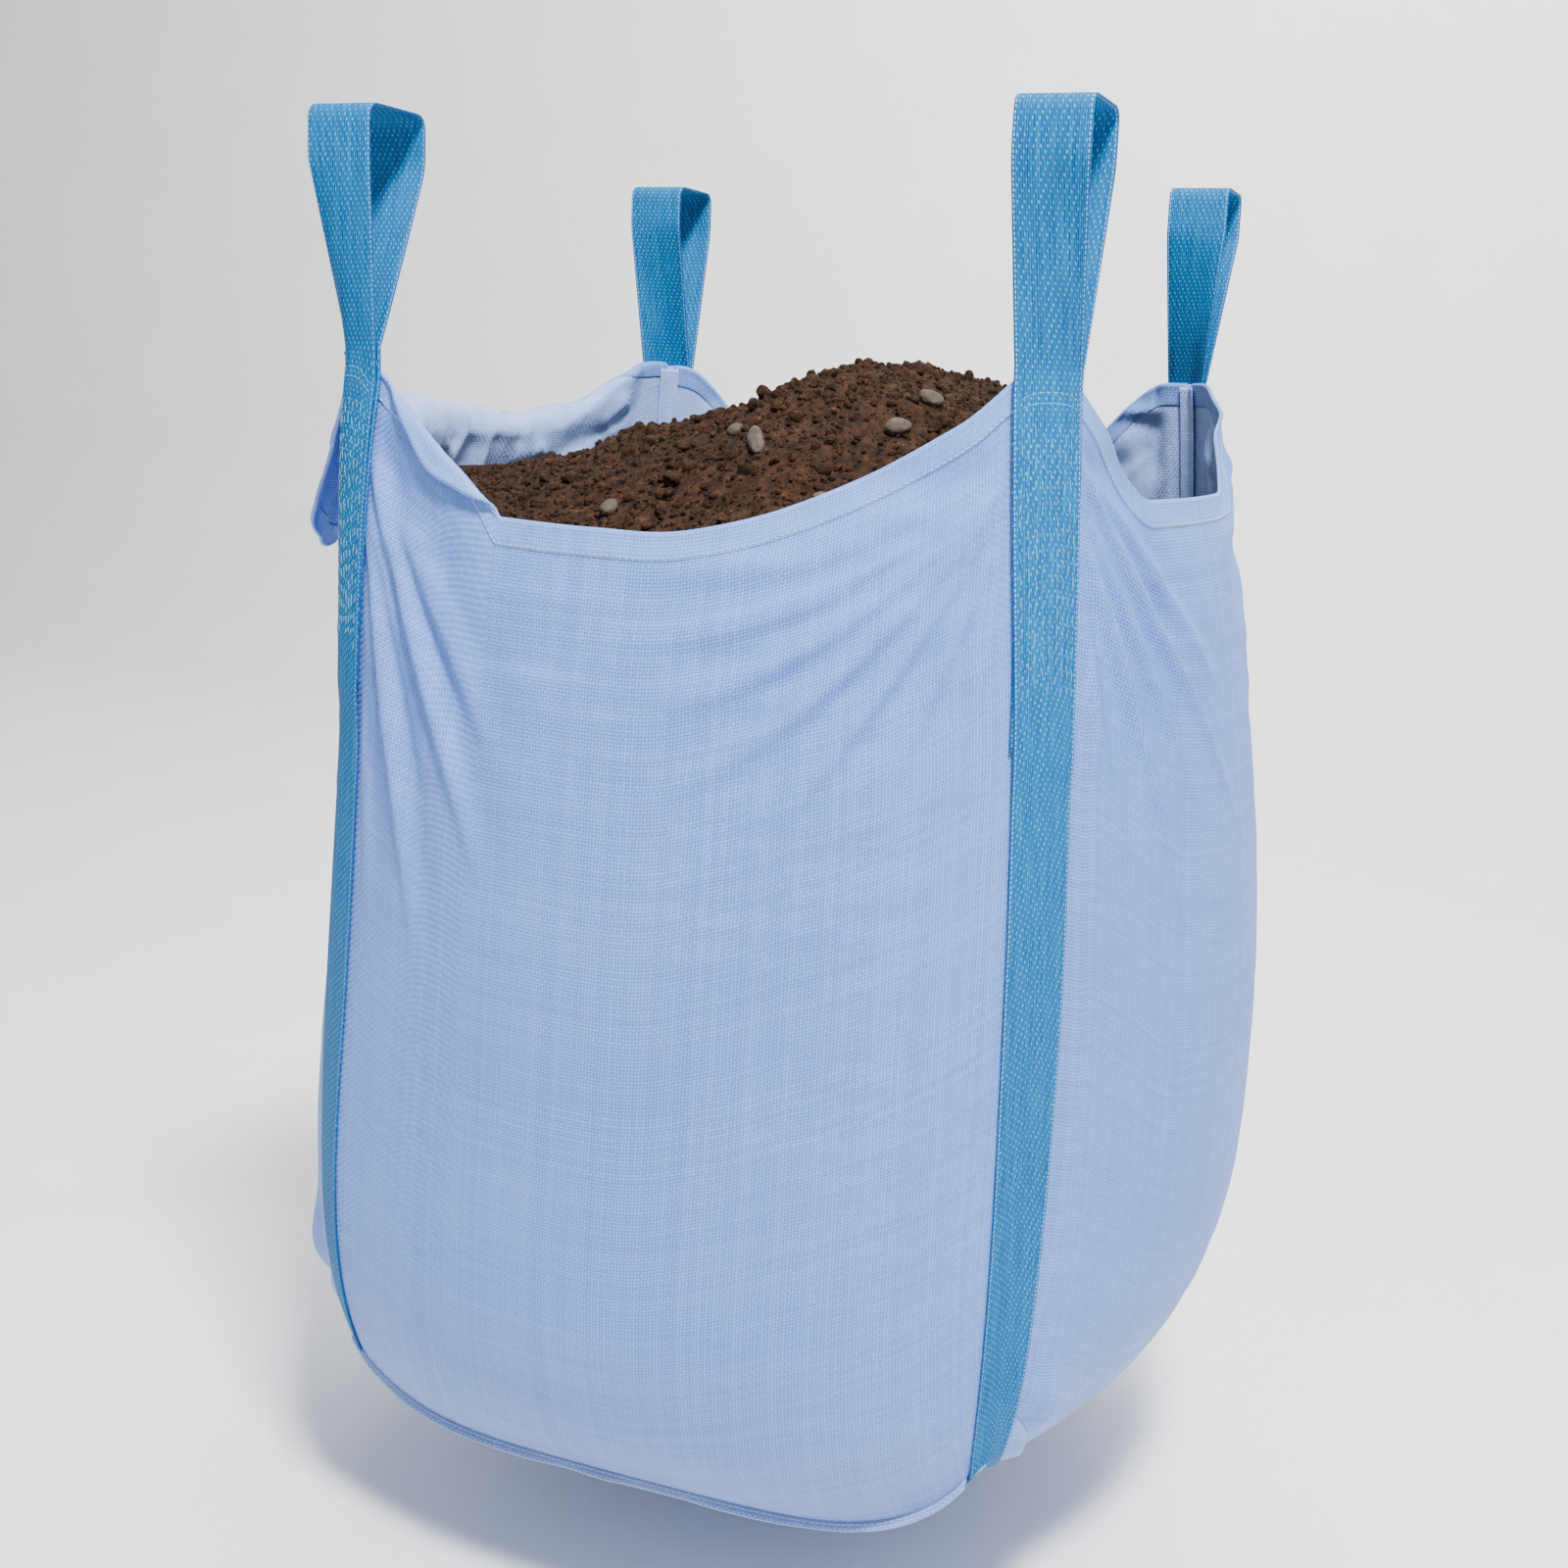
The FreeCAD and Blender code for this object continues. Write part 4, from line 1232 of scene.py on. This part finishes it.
def on_grid(grid, down, across):
    """Points of a grid at shares from 0 to 1 down it, and from -1 to 1 across it."""
    row, column = down * (grid.shape[0] - 1), (across + 1) / 2 * (grid.shape[1] - 1)
    i = np.minimum(row.astype(int), grid.shape[0] - 2)
    j = np.minimum(column.astype(int), grid.shape[1] - 2)
    under, beside = (row - i)[:, None], (column - j)[:, None]
    return mix(mix(grid[i, j], grid[i, j + 1], beside),
               mix(grid[i + 1, j], grid[i + 1, j + 1], beside), under)


def soil_start(side, grid, across):
    """How far down a side's grid the soil begins, as a share of its height."""
    ends = {"front": ("front_left", "front_right"), "back": ("back_left", "back_right"),
            "left": ("front_left", "back_left"), "right": ("front_right", "back_right")}[side]
    corner = np.where(across < 0, SOIL_CORNERS[ends[0]], SOIL_CORNERS[ends[1]])
    level = mix(SOIL_LEVELS[side], corner, np.abs(across) ** 2.5)
    shares = np.linspace(0, 1, ROWS)
    drops = np.array([-on_grid(grid, np.full(SOIL_SIDE, share), across)[:, 2]
                      for share in shares])
    return np.array([np.interp(level[n], drops[:, n], shares) for n in range(SOIL_SIDE)])


def soil_wall(side):
    """Rows from the soil's edge down to the seam, just inside the folds of the cloth."""
    across = np.linspace(-1, 1, SOIL_SIDE)
    inner = sides[side] - outward_normals(sides[side]) * (CLOTH + 0.0015)
    start = soil_start(side, inner, across)
    rows = []
    for share in np.linspace(0, 1, WALL_RINGS) ** 1.6:
        place = on_grid(inner, mix(start, 1, share), across)
        pull = SOIL_INSET * smooth(share, 0, 0.1) + 0.004 * across ** 8
        rows.append(place + unit(HEART - place) * np.atleast_1d(pull)[:, None])
    return np.array(rows)


soil_walls = {side: soil_wall(side) for side in SIDES}


def heap_grid():
    front, back, left, right = [soil_walls[side][0] for side in SIDES]
    p = np.linspace(0, 1, SOIL_SIDE)[:, None, None]
    q = np.linspace(0, 1, SOIL_SIDE)[None, :, None]
    flat = (front[:, None] * (1 - q) + back[:, None] * q + left[None] * (1 - p)
            + right[None] * p - (front[0] * (1 - p) + front[-1] * p) * (1 - q)
            - (back[0] * (1 - p) + back[-1] * p) * q)
    grid = flat.copy()
    ahead = flat[..., :2] - np.array(HEAP_PEAK[:2])
    x, y = ahead[..., 0], ahead[..., 1]
    left = HEAP_LEFT[0] * (np.hypot(x, HEAP_LEFT[1]) - HEAP_LEFT[1])
    fall = np.where(x < 0, left, HEAP_RIGHT * x ** 2)
    fall = fall + np.where(y < 0, HEAP_FRONT, HEAP_BACK) * y ** 2
    above = (HEAP_PEAK[2] - fall - flat[..., 2]) / HEAP_SOFT
    x, y = 2 * p[..., 0] - 1, 2 * q[..., 0] - 1
    inner = smooth(np.minimum(1 - np.abs(x), 1 - np.abs(y)), 0, 0.06)
    grid[..., 2] += HEAP_SOFT * np.logaddexp(0, above) * inner
    rough = (0.0080 * value_noise(grid, 0.085, 131) + 0.0060 * value_noise(grid, 0.036, 132)
             + 0.0040 * np.abs(value_noise(grid, 0.017, 133))
             + 0.0032 * value_noise(grid, 0.0085, 134))
    grid[..., 2] += rough * inner
    grid[..., 0] += 0.003 * value_noise(grid, 0.012, 135) * inner
    grid[..., 1] += 0.003 * value_noise(grid, 0.012, 136) * inner
    return grid


def ring_of(front, right, back, left):
    """The four sides of one level as one closed line, the same way round as the heap."""
    return np.concatenate([front[:-1], right[:-1], back[:0:-1], left[:0:-1]])


def soil_mesh(grid):
    side = SOIL_SIDE
    index = np.arange(side * side).reshape(side, side)
    edge = np.concatenate([index[:-1, 0], index[-1, :-1], index[:0:-1, -1], index[0, :0:-1]])
    points, faces = [grid.reshape(-1, 3)], [grid_faces(side, side)]
    rings = [ring_of(*[soil_walls[name][row] for name in ("front", "right", "back", "left")])
             for row in range(1, WALL_RINGS)]
    span = np.linspace(-1, 1, side)
    ends = np.ones(side)
    along = ring_of(*[line[:, None] for line in (span, ends, span, -ends)])[:, 0]
    across = ring_of(*[line[:, None] for line in (-ends, span, ends, span)])[:, 0]
    for share in np.linspace(1, 0.04, BASE_RINGS)[1:]:
        place = base_place(along * share, across * share)
        rings.append(place + unit(HEART - place) * SOIL_INSET)
    count = side * side
    previous = edge
    for ring in rings:
        current = np.arange(count, count + len(ring))
        faces.append(np.stack([previous, current, np.roll(current, -1), np.roll(previous, -1)],
                              axis=-1))
        points.append(ring)
        previous, count = current, count + len(ring)
    item = new_object("soil_heap", np.concatenate(points), np.concatenate(faces), [SOIL])
    add_caps(item, [previous[::-1]])
    return item


heap = heap_grid()
on_bag(soil_mesh(heap), "soil", "soil_fill")


def ball(level):
    work = bmesh.new()
    bmesh.ops.create_icosphere(work, subdivisions=level, radius=1.0)
    points = np.array([v.co for v in work.verts])
    faces = np.array([[v.index for v in face.verts] for face in work.faces])
    work.free()
    return points, faces


def turned(random, count):
    """Random rotations as matrices."""
    axes = unit(random.normal(size=(count, 4)))
    w, x, y, z = axes.T
    return np.array([[1 - 2 * (y * y + z * z), 2 * (x * y - z * w), 2 * (x * z + y * w)],
                     [2 * (x * y + z * w), 1 - 2 * (x * x + z * z), 2 * (y * z - x * w)],
                     [2 * (x * z - y * w), 2 * (y * z + x * w), 1 - 2 * (x * x + y * y)]]
                    ).transpose(2, 0, 1)


def scattered(name, count, smallest, largest, level, seed):
    """Irregular lumps that lie on the heap, mostly small ones."""
    random = np.random.default_rng(seed)
    margin = 0.03 + 2.0 * largest
    places = random.uniform(margin, 1 - margin, (count, 2))
    sizes = smallest + (largest - smallest) * random.uniform(0, 1, count) ** 2.6
    squash = random.uniform(0.62, 1.15, (count, 3))
    centres = on_grid(heap, places[:, 0], places[:, 1] * 2 - 1)
    centres[:, 2] += sizes * random.uniform(0.05, 0.55, count)
    shape, faces = ball(level)
    offsets = random.uniform(0, 50, (count, 3))
    lumps = shape[None] * (1 + 0.34 * value_noise(shape[None] + offsets[:, None], 0.75,
                                                  seed)[..., None])
    lumps = lumps * squash[:, None]
    lumps = np.einsum("nij,nvj->nvi", turned(random, count), lumps)
    points = centres[:, None] + lumps * sizes[:, None, None]
    index = faces[None] + (np.arange(count) * len(shape))[:, None, None]
    item = new_object(name, points.reshape(-1, 3), index.reshape(-1, 3), [SOIL])
    item.data.shade_flat()
    return item


for name, *facts in (("soil_crumbs", 11000, 0.0014, 0.0042, 1, 141),
                     ("soil_clods", 900, 0.0035, 0.0085, 2, 142),
                     ("soil_lumps", 60, 0.007, 0.015, 3, 143)):
    on_bag(scattered(name, *facts), "soil")


# stones that lie half sunk in the heap: place, half axes and turn in degrees about up
STONE_FACTS = [(0.038, -0.274, 0.027, 0.0085, 0.0075, 108),
               (-0.011, -0.219, 0.009, 0.008, 0.006, 30),
               (0.167, -0.127, 0.013, 0.011, 0.009, 0),
               (0.160, -0.212, 0.014, 0.011, 0.009, 40),
               (-0.101, -0.324, 0.013, 0.009, 0.007, 75),
               (0.132, -0.341, 0.010, 0.006, 0.005, 15)]


def stones():
    shape, faces = ball(4)
    facing = outward_normals(heap)
    groups = []
    for number, (x, y, half_x, half_y, half_z, turn) in enumerate(STONE_FACTS):
        near = np.argmin((heap[..., 0] - x) ** 2 + (heap[..., 1] - y) ** 2)
        i, j = np.unravel_index(near, heap.shape[:2])
        up = unit(facing[i - 5:i + 6, j - 5:j + 6].mean(axis=(0, 1)))
        along = np.array([math.cos(math.radians(turn)), math.sin(math.radians(turn)), 0])
        along = unit(along - up * (along @ up))
        lumpy = shape * (1 + 0.16 * value_noise(shape + number * 7, 0.8, 151)
                         + 0.04 * value_noise(shape + number * 5, 0.28, 152))[:, None]
        lumpy = lumpy * np.array([half_x, half_y, half_z])
        spun = lumpy @ np.stack([along, np.cross(up, along), up])
        groups.append(spun + heap[i, j] + up * half_z * 0.45)
    index = faces[None] + (np.arange(len(groups)) * len(shape))[:, None, None]
    return new_object("surface_stones_set", np.concatenate(groups), index.reshape(-1, 3),
                      [STONE])


on_bag(stones(), "stone", "surface_stones")


# ------------------------------------------------------------------ studio
FLOOR_Z = cad_box[0][2] - 0.09      # the bag hangs clear of the floor
WALL_Y, WALL_BEND = 5.0, 1.2        # where the floor begins to curve up, and its radius


def studio_floor():
    """A floor that curves up into a wall behind the bag."""
    turns = np.linspace(0, math.pi / 2, 14)
    profile = [(-7.0, 0.0), (-3.0, 0.0), (0.0, 0.0), (3.0, 0.0)]
    profile += [(WALL_Y + WALL_BEND * math.sin(turn), WALL_BEND * (1 - math.cos(turn)))
                for turn in turns]
    profile += [(WALL_Y + WALL_BEND, height) for height in (3.0, 5.0, 8.0)]
    along = np.linspace(-9, 9, 19)
    grid = np.array([[(x, y, FLOOR_Z + z) for x in along] for y, z in profile])
    faces = grid_faces(len(profile), len(along))[:, ::-1]
    return new_object("floor", grid.reshape(-1, 3), faces, [floor_material()])


studio_floor()


def soft_light(name, place, target, size, power, colour):
    light = bpy.data.lights.new(name, "AREA")
    light.shape, light.size, light.size_y = "RECTANGLE", size[0], size[1]
    light.energy, light.color = power, colour
    item = bpy.data.objects.new(name, light)
    bpy.context.scene.collection.objects.link(item)
    facing = (Vector(place) - Vector(target)).to_track_quat("Z", "Y")
    item.matrix_world = Matrix.Translation(place) @ facing.to_matrix().to_4x4()


soft_light("key", (1.5, -2.3, 3.4), (0, -0.2, -0.8), (0.8, 0.8), 640, (1.0, 0.985, 0.96))
soft_light("above", (0.2, 0.6, 3.2), (0, 0, -0.3), (3.0, 3.0), 26, (1.0, 1.0, 1.0))
soft_light("backdrop", (0, 2.4, 4.0), (0, 6.2, 0.2), (4.0, 1.0), 420, (1.0, 1.0, 1.0))

world = bpy.data.worlds.new("studio")
world.use_nodes = True
sky = world.node_tree.nodes["Background"].inputs
sky["Color"].default_value = (0.92, 0.96, 1.0, 1)
sky["Strength"].default_value = 0.58
bpy.context.scene.world = world


# ------------------------------------------------------------------ camera
CAMERA_PLACE = (0.78, -2.16, -0.26)
CAMERA_YAW, CAMERA_PITCH, CAMERA_ROLL = 20.4, 10.9, 2.29     # degrees
CAMERA_LENS = 46.2


def camera_axes():
    yaw, pitch, roll = (math.radians(v) for v in (CAMERA_YAW, CAMERA_PITCH, CAMERA_ROLL))
    forward = Vector((-math.sin(yaw) * math.cos(pitch), math.cos(yaw) * math.cos(pitch),
                      -math.sin(pitch)))
    right = Vector((math.cos(yaw), math.sin(yaw), 0))
    up = right.cross(forward)
    return (right * math.cos(roll) + up * math.sin(roll),
            up * math.cos(roll) - right * math.sin(roll), -forward)


camera = bpy.data.objects.new("camera", bpy.data.cameras.new("camera"))
camera.data.lens, camera.data.sensor_width = CAMERA_LENS, 36
camera.matrix_world = (Matrix.Translation(CAMERA_PLACE)
                       @ Matrix([*camera_axes()]).transposed().to_4x4())
bpy.context.scene.collection.objects.link(camera)
bpy.context.scene.camera = camera
